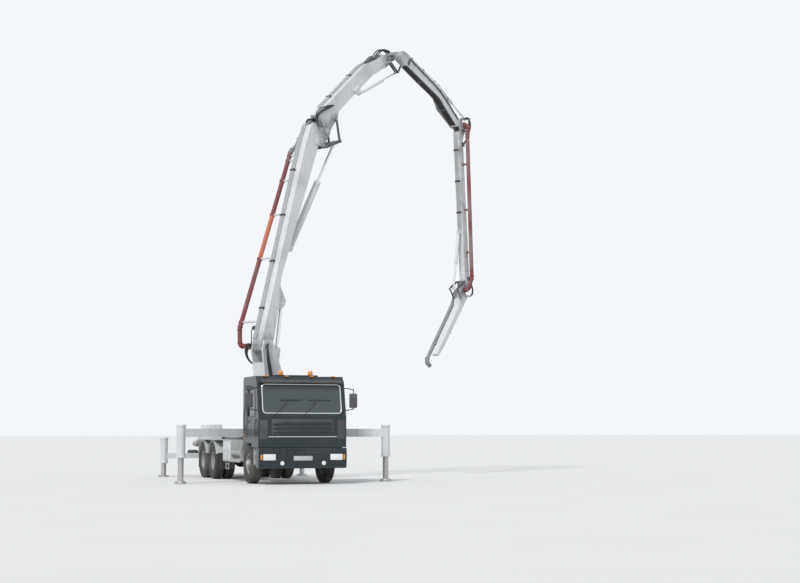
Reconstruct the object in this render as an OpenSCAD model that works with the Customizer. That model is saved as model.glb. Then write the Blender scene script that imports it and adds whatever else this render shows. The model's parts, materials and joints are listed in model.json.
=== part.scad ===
// Truck-mounted concrete pump with a five-section placing boom, set up on its outriggers.
// Millimetres. X points to the truck's nose, Y to its left side, Z up.
// The origin is on the ground under the slewing axis of the boom.

/* [Boom] */
// Slewing angle of the boom from the truck's nose, in degrees
slew_rest = 120; // [100:1:140]
// Height of the boom's root pivot above the ground
root_h = 3860; // [3700:10:4100]
// Distance of the root pivot behind the slewing axis
root_back = 550; // [500:10:600]
// Elevation of section 1, in degrees
elev = 69.4; // [60:0.2:72]
// Fold of section 2 under section 1, in degrees
fold2 = 27.4; // [20:0.2:40]
// Fold of section 3 under section 2, in degrees
fold3 = 66.9; // [50:0.2:80]
// Bend in the beam of section 3, in degrees
kink = 17.7; // [12:0.1:22]
// Fold of section 4 over section 3, negative while it hangs down, in degrees
fold4 = -43.4; // [-60:0.2:-30]
// Fold of section 5 under section 4, in degrees
fold5 = 39.8; // [30:0.2:60]
// Section 1, root pivot to end pivot
sec1_len = 6980; // [6600:10:7400]
// Section 2, pivot to pivot
sec2_len = 4100; // [3900:10:4400]
// Section 3, root pivot to its bend
sec3_root_len = 2090; // [1900:10:2300]
// Section 3, bend to end pivot
sec3_tip_len = 1500; // [1450:10:1700]
// Section 4, pivot to pivot along the beam
sec4_len = 5450; // [5000:10:5700]
// Section 5, root pivot to outlet
sec5_len = 2800; // [2600:10:3100]
// Sideways offset of sections 3, 4 and 5 from sections 1 and 2
side_step = 580; // [570:1:620]

/* [Beams] */
// Half width of section 1
half1 = 180; // [170:1:184]
// Half width of section 2
half2 = 170; // [160:1:174]
// Half width of section 3
half3 = 120; // [115:1:124]
// Half width of section 4
half4 = 111; // [105:1:114]
// Half width of section 5
half5 = 104; // [98:1:106]
// Depth of section 1 at its head
deep1 = 500; // [440:10:560]
// Depth of section 2 at its root
deep2 = 440; // [400:10:480]
// Depth of section 3 at its root
deep3 = 340; // [300:10:360]
// Depth of section 4 at its root
deep4 = 230; // [200:5:240]
// Depth of section 5 at its root
deep5 = 200; // [180:5:210]
// Thickness of the lug plates at the beams' ends
lug_t = 20; // [16:1:20]

/* [Delivery line] */
// Outside radius of the delivery pipe
pipe_r = 66; // [60:1:68]
// How far a clamp coupling stands out from its pipe
clamp_up = 14; // [10:1:16]
// Centre-line radius of the elbows
bend_r = 95; // [92:1:100]
// Distance of the line beside section 1 from its middle
line1_y = 900; // [800:5:950]
// Distance of the line beside section 2 from its middle
line2_y = 440; // [430:5:460]

/* [Truck] */
// Height of a tyre
tyre_d = 1080; // [1060:5:1100]
// Width of a front tyre
tyre_w = 300; // [280:5:310]
// Front axle ahead of the slewing axis
axle_front_x = 1500; // [1450:5:1550]
// First rear axle behind the slewing axis
axle_mid_x = -2650; // [-2700:5:-2600]
// Last rear axle behind the slewing axis
axle_rear_x = -4000; // [-4050:5:-3990]
// Half the front track
track_front = 1030; // [1020:1:1040]
// Middle of a pair of twin tyres from the truck's middle
track_rear = 920; // [915:1:930]
// Rear wall of the cab ahead of the slewing axis
cab_rear_x = 1150; // [1120:5:1200]
// Length of the cab
cab_len = 1680; // [1640:5:1700]
// Half width of the cab
cab_half = 1225; // [1200:5:1240]
// Height of the cab's roof
cab_top = 2900; // [2850:5:2960]
// Height of the cab's floor
cab_floor = 1050; // [1040:5:1080]
// Thickness of the cab's walls
cab_wall = 60; // [50:1:70]
// Height of the frame rails' top
rail_top = 1040; // [1030:5:1050]
// Half the outer width over the frame rails
rail_half = 430; // [420:5:440]

/* [Outriggers] */
// Reach of a front leg from its hinge to its jack
leg_len = 2100; // [1900:10:2200]
// Angle of a front leg from the truck's nose
leg_angle = 72; // [65:1:80]
// How far a rear beam is drawn out
beam_out = 1150; // [1000:10:1200]
// Radius of a jack's foot
foot_r = 170; // [150:5:180]

/* [Hidden] */
$fn = 32;

// Running clearances: round a pin, and between plates side by side
pin_gap = 0.3;
side_gap = 7;

boom_white = [0.78, 0.79, 0.78];
pipe_red = [0.50, 0.16, 0.15];
steel_grey = [0.45, 0.46, 0.47];
dark_grey = [0.2, 0.2, 0.21];
cab_green = [0.07, 0.11, 0.11];
tyre_black = [0.08, 0.08, 0.08];

// Directions of the beams above the horizontal, in the boom's plane
dir1 = elev;
dir2 = dir1 - fold2;
dir3 = dir2 - fold3;
dir3_tip = dir3 - kink;
dir4 = dir3_tip + fold4;
dir5 = dir4 - fold5;

// Distance of a beam's working edge from its pivot's line
clear2 = 150;
clear4 = 90;
clear5 = 100;
head3_rise = 100;
tip3_rise = 200;

function turn(p, a) = [p[0] * cos(a) - p[1] * sin(a), p[0] * sin(a) + p[1] * cos(a)];
function away(p, a, q) = p + turn(q, a);

// Pivots in the boom's plane: distance out and height from the root pivot
piv1 = [0, 0];
piv2 = away(piv1, dir1, [sec1_len, 0]);
piv3 = away(piv2, dir2, [sec2_len, head3_rise]);
bend3 = away(piv3, dir3, [sec3_root_len, 0]);
piv4 = away(bend3, dir3_tip, [sec3_tip_len, tip3_rise]);
drop5 = clear4 + deep4 + clear5;
piv5 = away(piv4, dir4, [sec4_len, -drop5]);

// A point of section 3's outer part, seen from the section's root
function tip_point(p) =
    [sec3_root_len, 0] + turn([p[0] + sec3_tip_len, p[1] + tip3_rise], -kink);
function from_tip(p, y) = [tip_point(p)[0], y, tip_point(p)[1]];

// Linkages of sections 2 to 5. Columns: side of the beam (-1 under, 1 over), lever pin behind
// the pivot, lever length, link pin beyond the pivot and its drop, link length, barrel pin
// behind the pivot, barrel radius, rod radius, barrel length, rod length, pin radius
SIDE = 0;
LEVER_X = 1;
LEVER_L = 2;
LINK_X = 3;
LINK_N = 4;
LINK_L = 5;
BARREL_X = 6;
BARREL_R = 7;
ROD_R = 8;
BARREL_L = 9;
ROD_L = 10;
PIN_R = 11;
linkage = [
    [-1, 500, 762, 590, -50, 677, 3900, 100, 48, 2400, 1850, 34],
    [-1, 280, 427, 330, -28, 379, 2100, 50, 28, 1180, 1180, 24],
    [1, 280, 420, 200, 0, 499, 1700, 45, 26, 890, 905, 20],
    [-1, 290, 457, 354, -30, 403, 1900, 54, 30, 1045, 1035, 20],
];
folds = [fold2, fold3, fold4, fold5];

// A linkage's points in the carrying beam's frame: X out from the pivot, Y to the linkage's side
function link_pin(k) = turn([linkage[k][LINK_X], linkage[k][LINK_N]], folds[k]);
function lever_pin(k) = [-linkage[k][LEVER_X], 0];
function barrel_pin(k) = [-linkage[k][BARREL_X], 0];
function head_angle(k) =
    let (
        q = link_pin(k) - lever_pin(k),
        d = norm(q),
        a = linkage[k][LEVER_L],
        b = linkage[k][LINK_L]
    )
    atan2(q[1], q[0]) + acos((a * a + d * d - b * b) / (2 * a * d));
function head_pin(k) = lever_pin(k) + linkage[k][LEVER_L] * [cos(head_angle(k)), sin(head_angle(k))];

// Lift cylinder: its foot from the root pivot, and its lug on section 1
ring_top = 1640;
lift_foot = [350, max(-1750, ring_top + 470 - root_h)];
lift_lug = [1450, -280];
lift_barrel_r = 115;
lift_rod_r = 60;
lift_barrel_l = 1715;
lift_rod_l = 1700;
lift_top = turn(lift_lug, dir1);

// Places in the boom
module in_plane(p, y, a) {
    rotate([0, 0, slew_rest])
        translate([p[0] - root_back, y, root_h + p[1]])
            rotate([0, -a, 0])
                children();
}

module at_sec1() {
    in_plane(piv1, 0, dir1)
        children();
}

module at_sec2() {
    in_plane(piv2, 0, dir2)
        children();
}

module at_sec3() {
    in_plane(piv3, -side_step, dir3)
        children();
}

module at_sec3_tip() {
    in_plane(piv4, -side_step, dir3_tip)
        children();
}

module at_sec4() {
    in_plane(piv4, -side_step, dir4)
        children();
}

module at_sec5() {
    in_plane(piv5, -side_step, dir5)
        children();
}

// The end pivot of the beam that carries linkage k, with X out along that beam
module at_joint(k) {
    if (k == 0) {
        in_plane(piv2, 0, dir1)
            children();
    }
    if (k == 1) {
        in_plane(piv3, 0, dir2)
            children();
    }
    if (k == 2) {
        in_plane(piv4, -side_step, dir3_tip)
            children();
    }
    if (k == 3) {
        in_plane(piv5, -side_step, dir4)
            children();
    }
}

// Plate between y0 and y1 whose outline's X is along the beam and Y is up
module slab(y0, y1) {
    translate([0, y1, 0])
        rotate([90, 0, 0])
            linear_extrude(y1 - y0)
                children();
}

module pair(y0, y1) {
    slab(y0, y1)
        children();
    slab(-y1, -y0)
        children();
}

module ypin(r, y0, y1, x = 0, z = 0) {
    translate([x, y1, z])
        rotate([90, 0, 0])
            cylinder(r = r, h = y1 - y0);
}

// Flat bar between two eyes
module bar(p, q, r) {
    translate(p)
        circle(r);
    translate(q)
        circle(r);
    translate(p)
        rotate(atan2(q[1] - p[1], q[0] - p[0]))
            translate([0, -0.92 * r])
                square([norm(q - p), 1.84 * r]);
}

// Straight run of round bar between two points in space
module run(p, q, r) {
    d = q - p;
    translate(p)
        rotate([0, acos(d[2] / norm(d)), atan2(d[1], d[0])])
            cylinder(r = r, h = norm(d));
}

// Pipe along points, with a bent elbow at each corner
function unit(v) = v / norm(v);
function corner(points, i) = acos(unit(points[i] - points[i - 1]) * unit(points[i + 1] - points[i]));
// Gentle bends get a larger radius, so that their arc stays long enough for its couplings
function bend_at(points, i, bend) = max(bend, 5200 / corner(points, i));
function tangent(points, i, bend) =
    i <= 0 || i >= len(points) - 1 ? 0 : bend_at(points, i, bend) * tan(corner(points, i) / 2);

module elbow(points, i, r, bend) {
    a = unit(points[i] - points[i - 1]);
    b = unit(points[i + 1] - points[i]);
    n = unit(b - (a * b) * a);
    w = cross(-n, a);
    c = points[i] - tangent(points, i, bend) * a + bend_at(points, i, bend) * n;
    multmatrix([
        [-n[0], a[0], w[0], c[0]],
        [-n[1], a[1], w[1], c[1]],
        [-n[2], a[2], w[2], c[2]],
        [0, 0, 0, 1],
    ])
        rotate_extrude(angle = corner(points, i))
            translate([bend_at(points, i, bend), 0])
                circle(r);
}

module pipe_run(points, r, bend = bend_r, up = clamp_up) {
    last = len(points) - 2;
    for (i = [0 : last]) {
        d = unit(points[i + 1] - points[i]);
        p = points[i] + tangent(points, i, bend) * d;
        q = points[i + 1] - tangent(points, i + 1, bend) * d;
        short = norm(q - p) < 110;
        if (i > 0 && i < last && norm(q - p) < 200) {
            run(p - 12 * d, q + 12 * d, r + up);
        } else {
            run(i > 0 ? p + 4 * d : p, i < last ? q - 4 * d : q, r);
            if (i > 0) {
                run(p - (short ? 8 : 12) * d, p + (short ? 7 : 18) * d, r + (short ? 3 : up));
            }
            if (i < last) {
                run(q - (short ? 7 : 18) * d, q + (short ? 8 : 12) * d, r + (short ? 3 : up));
            }
        }
    }
    for (i = [1 : last]) {
        elbow(points, i, r, bend);
    }
}

// Clamp coupling round a pipe that runs along X
module clamp_x(x, y, z) {
    translate([x - 35, y, z])
        rotate([0, 90, 0])
            cylinder(r = pipe_r + clamp_up, h = 70);
}

// Boom sections
module boom_1() {
    color(boom_white)
        at_sec1()
            difference() {
                union() {
                    slab(-half1, half1)
                        polygon([
                            [-210, -120], [-120, -200], [260, -210], [900, -120], [2000, clear2],
                            [sec1_len - 40, clear2], [sec1_len - 40, clear2 + deep1 - 60],
                            [sec1_len - 160, clear2 + deep1], [sec1_len - 900, clear2 + deep1],
                            [300, 230], [-60, 230], [-210, 120],
                        ]);
                    pair(half1, half1 + lug_t)
                        head_lug(0, half1);
                    pair(80, 80 + lug_t)
                        polygon([
                            [lift_lug[0] - 420, -60], [lift_lug[0] - 90, lift_lug[1] - 60],
                            [lift_lug[0] + 90, lift_lug[1] - 60], [lift_lug[0] + 420, 60],
                        ]);
                    barrel_lug(0);
                    linkage_pins(0, half1, lever_out(0));
                    ypin(60, -half1 - lug_t - 12, half1 + lug_t + 12, sec1_len, 0);
                    line1_arms();
                }
                root_bore(290, 70);
                pin_window(lift_lug[0], lift_lug[1], 46, 80 + lug_t + 1);
            }
}

// Lug plate of the beam that carries linkage k: it holds the lever's pin and the end pivot
module head_lug(k, half) {
    x0 = k == 0 ? sec1_len : sec4_len;
    z0 = k == 0 ? 0 : -drop5;
    r = k == 0 ? 150 : 100;
    c = k == 0 ? clear2 : clear5;
    q = linkage[k][LEVER_X];
    e = linkage[k][PIN_R] + 17;
    translate([x0, z0]) {
        circle(r);
        translate([-q, 0])
            circle(e);
        polygon([
            [-q - e + 4, 0], [-q - e - 30, c + r], [-45, c + r], [r - 8, 0], [0, 8 - r],
            [-q / 2, k == 0 ? (4 - e + 8 - r) / 2 : -20], [-q, 4 - e],
        ]);
    }
}

module root_bore(y, r) {
    ypin(r, -y, y, 0, 0);
}

module pin_window(x, z, r, y) {
    ypin(r, -y, y, x, z);
}

// Lever pins on the sides of the carrying beam
module linkage_pins(k, from, to) {
    x0 = k == 0 ? sec1_len : sec4_len;
    z0 = k == 0 ? 0 : -drop5;
    for (s = [-1, 1]) {
        ypin(linkage[k][PIN_R], s > 0 ? from : -to, s > 0 ? to : -from, x0 - linkage[k][LEVER_X], z0);
    }
}

// Lug pair under a beam for the foot of its cylinder
module barrel_lug(k) {
    x0 = k == 0 ? sec1_len : sec4_len;
    z0 = k == 0 ? 0 : -drop5;
    c = k == 0 ? clear2 : clear5;
    r = linkage[k][BARREL_R];
    w = eye_half(k) + 6;
    translate([x0 - linkage[k][BARREL_X], 0, z0]) {
        pair(w, w + lug_t)
            polygon([[-2.4 * r, c + 20], [-0.8 * r, -0.7 * r], [0.7 * r, -0.7 * r], [0.9 * r, c + 20]]);
        ypin(linkage[k][PIN_R], -w - lug_t, w + lug_t);
    }
}

function eye_half(k) = linkage[k][BARREL_R] * 0.55;

// Stacking beside a beam's end: lug, link and lever, from the middle outwards
link_t = 18;
lever_t = 20;
function beam_half(k) = [half1, half2, half3, half4][k];
function link_in(k) = beam_half(k) + lug_t + side_gap;
function link_out(k) = link_in(k) + link_t;
function lever_in(k) = link_out(k) + side_gap;
function lever_out(k) = lever_in(k) + lever_t;

// Brackets that hold the delivery line off section 1
line1_brackets = [660, 2700, 4150, 5300, 5990, 6170];
line1_z = 200;
module line1_arms() {
    for (x = line1_brackets) {
        translate([x, half1 - 5, line1_z])
            rotate([-90, 0, 0])
                cylinder(r = 32, h = line1_y - half1 - pipe_r - clamp_up + 5);
    }
}

module boom_2() {
    k = 1;
    color(boom_white)
        at_sec2()
            difference() {
                union() {
                    slab(-half2, half2)
                        polygon([
                            [40, clear2], [40, clear2 + deep2], [sec2_len - 1200, clear2 + deep2],
                            [sec2_len - 60, head3_rise + 190], [sec2_len + 110, head3_rise + 90],
                            [sec2_len + 110, head3_rise - 110], [sec2_len - 420, head3_rise - 110],
                            [sec2_len - 800, clear2],
                        ]);
                    slab(-half2, half2)
                        circle(130);
                    slab(-half2, half2)
                        polygon([
                            [-120, 0], [-20, 120], [42, clear2 + 140], [900, clear2 + 10],
                            [linkage[0][LINK_X] + 60, -linkage[0][LINK_N] - 60],
                            [linkage[0][LINK_X] - 60, -linkage[0][LINK_N] - 60], [60, -115],
                        ]);
                    for (s = [-1, 1]) {
                        ypin(
                            linkage[0][PIN_R], s > 0 ? half2 : -link_out(0), s > 0 ? link_out(0) : -half2,
                            linkage[0][LINK_X], -linkage[0][LINK_N]
                        );
                    }
                    // Lever pin and cylinder bracket of section 3's linkage, on the right side
                    ypin(linkage[k][PIN_R], -side_lever_out, -half2, sec2_len - linkage[k][LEVER_X], head3_rise);
                    slab(-side_rod_y + 56, -half2)
                        translate([sec2_len - linkage[k][BARREL_X], head3_rise])
                            polygon([[-160, 180], [-50, -60], [50, -60], [160, 180]]);
                    ypin(
                        linkage[k][PIN_R], -side_rod_y - 30, -side_rod_y + 57,
                        sec2_len - linkage[k][BARREL_X], head3_rise
                    );
                }
                ypin(60 + pin_gap, -half2 - 1, half2 + 1, 0, 0);
                ypin(96 + pin_gap, -half2 - 1, half2 + 1, sec2_len, head3_rise);
            }
}

// Section 3's linkage lies between sections 2 and 3: places across, from the boom's middle
side_rod_y = 313;
side_lever_in = 262;
side_lever_out = 364;
side_link_in = 371;
side_link_out = 391;

module boom_3() {
    k = 1;
    s = side_step;
    color(boom_white)
        difference() {
            union() {
                at_sec3() {
                    slab(-half3, half3)
                        polygon([
                            [-60, -150], [60, -deep3 / 2], [sec3_root_len - 5, -deep3 / 2 + 20],
                            tip_point([-228, -clear4 - 230]), tip_point([-100, -clear4]),
                            tip_point([-sec3_tip_len + 40, -tip3_rise + deep3 / 2 - 40]),
                            [sec3_root_len - 100, deep3 / 2], [60, deep3 / 2], [-60, 150],
                        ]);
                    slab(-half3, half3)
                        circle(150);
                    // Hub between sections 2 and 3, and the hollow pin in section 2
                    ypin(100, line3_y + bend3_r + 25, s - half2 - side_gap, 0, 0);
                    slab(half3 - 1, s - half2 - side_gap)
                        polygon([[-80, 0], [-150, 0], [-150, 100], [-60, 150], [-20, 110]]);
                    ypin(96, s - half2 - side_gap - 1, s + half2 + 12, 0, 0);
                    ypin(
                        linkage[k][PIN_R], half3 - 1, s - side_link_in,
                        linkage[k][LINK_X], -linkage[k][LINK_N]
                    );
                }
                at_sec3_tip() {
                    pair(half3 - 3, half3 + lug_t)
                        tip_lug();
                    for (y = [-1, 1]) {
                        ypin(
                            linkage[2][PIN_R], y > 0 ? half3 + 4 : -lever_out(2),
                            y > 0 ? lever_out(2) : -half3 - 4, -linkage[2][LEVER_X], 0
                        );
                    }
                    tip_barrel_lug();
                    ypin(95, -half3 - lug_t, half3 + lug_t, 0, 0);
                }
            }
            at_sec3() {
                ypin(pipe_r + 6, line3_y + bend3_r + 1, s + half2 + 20, 0, 0);
            }
            at_sec3_tip() {
                ypin(pipe_r + 6, -half3 - lug_t - 10, half3 + lug_t + 10, 0, 0);
            }
        }
}

module tip_lug() {
    q = linkage[2][LEVER_X];
    circle(125);
    translate([-q, 0])
        circle(42);
    polygon([
        [-q - 38, 0], [-q - 60, -clear4 - 90], [-45, -clear4 - 200], [60, -105], [0, 0], [-98, -58],
        [-q + 50, -58], [-q + 38, 0],
    ]);
}

module tip_barrel_lug() {
    r = linkage[2][BARREL_R];
    w = eye_half(2) + 6;
    translate([-linkage[2][BARREL_X], 0, 0]) {
        pair(w, w + lug_t)
            polygon([[-120, -200], [-0.8 * r, 0.8 * r], [0.7 * r, 0.8 * r], [0.9 * r, -200]]);
        ypin(linkage[2][PIN_R], -w - lug_t, w + lug_t);
    }
}

module boom_4() {
    color(boom_white)
        at_sec4()
            difference() {
                union() {
                    slab(-half4, half4)
                        polygon([
                            [100, -clear4], [232, -clear4 - deep4], [sec4_len - 60, -clear4 - deep4],
                            [sec4_len - 60, -clear4 - 20], [sec4_len - 300, -clear4],
                        ]);
                    slab(-half4, half4) {
                        circle(118);
                        polygon([[10, 110], [500, -clear4 - 5], [230, -clear4 - deep4 + 10], [70, -93]]);
                    }
                    for (y = [-1, 1]) {
                        ypin(
                            linkage[2][PIN_R], y > 0 ? half4 : -link_out(2), y > 0 ? link_out(2) : -half4,
                            linkage[2][LINK_X], 0
                        );
                    }
                    pair(half4, half4 + lug_t)
                        head_lug(3, half4);
                    linkage_pins(3, half4, lever_out(3));
                    barrel_lug(3);
                    ypin(90, -half4 - lug_t - 6, half4 + lug_t + 6, sec4_len, -drop5);
                }
                ypin(95 + pin_gap, -half4 - 1, half4 + 1, 0, 0);
                ypin(pipe_r + 6, -half4 - lug_t - 10, half4 + lug_t + 10, sec4_len, -drop5);
            }
}

module boom_5() {
    color(boom_white)
        at_sec5()
            difference() {
                union() {
                    slab(-half5, half5)
                        polygon([
                            [45, clear5], [45, clear5 + deep5], [sec5_len - 700, clear5 + deep5 - 40],
                            [sec5_len - 250, clear5 + 110], [sec5_len - 250, clear5 + 20], [900, clear5],
                        ]);
                    slab(-half5, half5) {
                        circle(110);
                        polygon([
                            [-90, 0], [-20, 95], [46, clear5 + 120], [600, clear5 + 10],
                            [linkage[3][LINK_X] + 40, -linkage[3][LINK_N] - 30],
                            [linkage[3][LINK_X] - 40, -linkage[3][LINK_N] - 30], [40, -100],
                        ]);
                    }
                    for (y = [-1, 1]) {
                        ypin(
                            linkage[3][PIN_R], y > 0 ? half5 : -link_out(3), y > 0 ? link_out(3) : -half5,
                            linkage[3][LINK_X], -linkage[3][LINK_N]
                        );
                    }
                }
                ypin(90 + pin_gap, -half5 - 1, half5 + 1, 0, 0);
            }
}

// Delivery line
module pipe_1() {
    y = line1_y;
    color(pipe_red)
        at_sec1()
            difference() {
                union() {
                    pipe_run([
                        [0, 420, 0], [0, y, 0], [480, y, line1_z], [sec1_len - 640, y, line1_z],
                        [sec1_len - 300, y, 0], [sec1_len, y, 0], [sec1_len, 600, 0],
                    ], pipe_r);
                    for (x = line1_brackets) {
                        clamp_x(x, y, line1_z);
                    }
                }
                ypin(pipe_r - 6, 419, 500, 0, 0);
            }
}

module pipe_2() {
    y = line2_y;
    color(steel_grey)
        at_sec2() {
            pipe_run([
                [0, 598, 0], [0, y, 0], [480, y, 340], [sec2_len - 500, y, 340],
                [sec2_len, y, head3_rise], [sec2_len, -side_step + line3_y + bend3_r + 12.3, head3_rise],
            ], pipe_r);
            for (x = [900, 2100, sec2_len - 900]) {
                clamp_x(x, y, 340);
                translate([x, half2, 340])
                    rotate([-90, 0, 0])
                        cylinder(r = 25, h = y - half2 - pipe_r);
            }
        }
}

bend3_r = 76;
line3_y = half3 + lug_t + 8 + bend3_r;
module pipe_3() {
    y = line3_y;
    color(steel_grey)
        at_sec3() {
            pipe_run([
                [0, y + bend3_r + 12, 0], [0, y, 0], [260, y, 200], [sec3_root_len - 150, y, 140],
                from_tip([-1000, -300], y), from_tip([-150, -160], y), from_tip([0, 0], y),
                from_tip([0, 0], half3 + lug_t - 2),
            ], pipe_r - 6, bend3_r, 6);
            for (x = [900, 1700]) {
                translate([x - 30, half3, 60])
                    cube([60, y - half3, 90]);
            }
        }
}

module pipe_4() {
    y = -(lever_out(2) + 10 + bend_r);
    color(pipe_red)
        at_sec4() {
            pipe_run([
                [0, half3 + lug_t - 2.3, 0], [0, y, 0], [350, y, -80], [sec4_len - 400, y, -200],
                [sec4_len, y, -drop5], [sec4_len, -half4 - lug_t - 12, -drop5],
            ], pipe_r - 2);
            for (x = [1300, 2800, 4200]) {
                translate([x - 30, y, -200])
                    cube([60, -half4 - y, 90]);
            }
        }
}

outlet_r = 70;
outlet_len = 60;
outlet_drop = 240;
line5_z = 150;
module pipe_5() {
    y = lever_out(3) + 8 + pipe_r;
    z = line5_z;
    color(steel_grey)
        at_sec5()
            difference() {
                union() {
                    pipe_run([
                        [0, -half4 - lug_t - 10, 0], [0, y, 0], [330, y, z], [sec5_len, y, z],
                        [sec5_len, y, z + outlet_drop],
                    ], pipe_r - 4);
                    translate([sec5_len, y, z + outlet_drop - outlet_len])
                        cylinder(r = outlet_r, h = outlet_len);
                    for (x = [1000, 2100]) {
                        translate([x - 30, half5, z - 30])
                            cube([60, y - half5, 60]);
                    }
                }
                translate([sec5_len, y, z + outlet_drop - 90])
                    cylinder(r = 55, h = 100);
            }
}

// Cylinders
module barrel_body(k, y = 0) {
    r = linkage[k][BARREL_R];
    rr = linkage[k][ROD_R];
    l = linkage[k][BARREL_L];
    w = eye_half(k);
    difference() {
        union() {
            translate([1.3 * r, y, 0])
                rotate([0, 90, 0])
                    cylinder(r = r, h = l - 1.3 * r);
            ypin(0.75 * r, y - w, y + w);
            translate([0, y - w, -0.6 * r])
                cube([1.35 * r, 2 * w, 1.2 * r]);
        }
        ypin(linkage[k][PIN_R] + pin_gap, y - w - 1, y + w + 1);
        translate([1.8 * r, y, 0])
            rotate([0, 90, 0])
                cylinder(r = rr + pin_gap, h = l);
    }
}

module rod_body(k, y = 0) {
    rr = linkage[k][ROD_R];
    l = linkage[k][ROD_L];
    w = eye_half(k);
    translate([-l, y, 0])
        rotate([0, 90, 0])
            cylinder(r = rr, h = l - rr);
    ypin(1.5 * rr, y - w, y + w);
}

function barrel_angle(k) =
    let (q = head_pin(k) - barrel_pin(k))
    atan2(q[1], q[0]);

module at_barrel(k) {
    s = linkage[k][SIDE];
    at_joint(k)
        translate([barrel_pin(k)[0], 0, 0])
            rotate([0, -s * barrel_angle(k), 0])
                children();
}

module at_head(k) {
    s = linkage[k][SIDE];
    at_joint(k)
        translate([head_pin(k)[0], 0, s * head_pin(k)[1]])
            rotate([0, -s * barrel_angle(k), 0])
                children();
}

function rod_y(k) = k == 1 ? -side_rod_y : 0;

module barrel(k) {
    color(boom_white)
        at_barrel(k)
            barrel_body(k, rod_y(k));
}

module rod(k) {
    color("silver")
        at_head(k) {
            rod_body(k, rod_y(k));
            if (k != 1) {
                ypin(linkage[k][PIN_R], -link_in(k) + 6, link_in(k) - 6);
            }
        }
}

// Lever plate with its cross tube's corner on the cylinder's side, clear of the folded link
module lever_plate(k, p, q, t, r) {
    bar(p, q, r);
    if (k == 0 || k == 3) {
        bar(p, t, r * 0.8);
        bar(t, q, r * 0.8);
        polygon([p, t, q]);
    }
}

module lever(k) {
    s = linkage[k][SIDE];
    p = lever_pin(k);
    q = head_pin(k);
    d = (q - p) / norm(q - p);
    r = 1.5 * linkage[k][PIN_R];
    off = k == 1 ? 0 : 1.75 * linkage[k][PIN_R];
    tie = p + (k == 1 ? 0.42 : 0.2) * (q - p) + off * [-d[1], d[0]];
    color(dark_grey)
        at_joint(k)
            difference() {
                union() {
                    if (k == 1) {
                        for (y = [-side_lever_in - 16, -side_lever_out]) {
                            slab(y, y + 16)
                                bar([p[0], s * p[1]], [q[0], s * q[1]], r);
                        }
                        ypin(r * 0.7, -side_lever_out + 1, -side_lever_in - 1, tie[0], s * tie[1]);
                    } else {
                        pair(lever_in(k), lever_out(k))
                            lever_plate(k, [p[0], s * p[1]], [q[0], s * q[1]], [tie[0], s * tie[1]], r);
                        if (k != 2) {
                            ypin(r * 0.75, -lever_in(k) - 1, lever_in(k) + 1, tie[0], s * tie[1]);
                        }
                    }
                }
                ypin(linkage[k][PIN_R] + pin_gap, -900, 900, p[0], s * p[1]);
            }
}

module link(k) {
    s = linkage[k][SIDE];
    p = link_pin(k);
    q = head_pin(k);
    r = 1.4 * linkage[k][PIN_R];
    color(dark_grey)
        at_joint(k)
            difference() {
                union() {
                    if (k == 1) {
                        slab(-side_link_out, -side_link_in)
                            bar([p[0], s * p[1]], [q[0], s * q[1]], r);
                    } else if (k == 2) {
                        pair(link_in(k), link_out(k))
                            bowed_bar([p[0], s * p[1]], [q[0], s * q[1]], r);
                    } else {
                        pair(link_in(k), link_out(k))
                            bar([p[0], s * p[1]], [q[0], s * q[1]], r);
                    }
                }
                ypin(linkage[k][PIN_R] + pin_gap, -900, 900, p[0], s * p[1]);
            }
}

// Link bowed round the pivot
module bowed_bar(p, q, r) {
    d = q - p;
    m = (p + q) / 2 + 120 * [d[1], -d[0]] / norm(d);
    bar(p, m, r);
    bar(m, q, r);
}

module barrel_1() {
    a = atan2(lift_top[1] - lift_foot[1], lift_top[0] - lift_foot[0]);
    color(boom_white)
        in_plane(lift_foot, 0, a)
            difference() {
                union() {
                    translate([80, 0, 0])
                        rotate([0, 90, 0])
                            cylinder(r = lift_barrel_r, h = lift_barrel_l - 80);
                    ypin(105, -70, 70);
                }
                ypin(45 + pin_gap, -71, 71);
                translate([100, 0, 0])
                    rotate([0, 90, 0])
                        cylinder(r = lift_rod_r + pin_gap, h = lift_barrel_l);
            }
}

module rod_1() {
    a = atan2(lift_top[1] - lift_foot[1], lift_top[0] - lift_foot[0]);
    color("silver")
        in_plane(lift_top, 0, a) {
            translate([-lift_rod_l, 0, 0])
                rotate([0, 90, 0])
                    cylinder(r = lift_rod_r, h = lift_rod_l - 50);
            ypin(95, -60, 60);
            ypin(44, -73, 73);
        }
}

// Turret between the slewing ring and the boom's root
cheek_y = 240;
module turret() {
    color(boom_white)
        rotate([0, 0, slew_rest]) {
            difference() {
                union() {
                    pair(half1 + 12, cheek_y)
                        polygon([
                            [-430, ring_top + 60], [-760, root_h - 150], [-700, root_h + 130],
                            [-400, root_h + 160], [-240, root_h - 60], [380, ring_top + 500],
                            [480, ring_top + 60],
                        ]);
                    slab(-half1 - 20, half1 + 20)
                        polygon([
                            [-430, ring_top + 60], [-700, root_h - 500], [-620, root_h - 500],
                            [-350, ring_top + 160], [-330, ring_top + 60],
                        ]);
                    translate([0, 0, ring_top])
                        cylinder(r = 600, h = 60);
                    ypin(70 - pin_gap, -cheek_y, cheek_y, -root_back, root_h);
                    translate([lift_foot[0] - root_back, 0, root_h + lift_foot[1]])
                        ypin(45, -half1 - 20, half1 + 20);
                }
                translate([0, 0, ring_top - 1])
                    cylinder(r = 90, h = 62);
            }
        }
    color(pipe_red)
        rotate([0, 0, slew_rest])
            pipe_run([
                [0, 0, ring_top + 2], [0, 0, ring_top + 250], [0, 310, ring_top + 250],
                [-root_back, 310, root_h], [-root_back, 418, root_h],
            ], pipe_r);
}

// Truck
module frame_rail() {
    slab(rail_half - 80, rail_half)
        difference() {
            polygon([
                [2300, rail_top - 60], [2300, rail_top - 260], [900, rail_top - 280],
                [-5200, rail_top - 280], [-5200, rail_top], [1050, rail_top], [1200, rail_top - 60],
            ]);
        }
}

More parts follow.
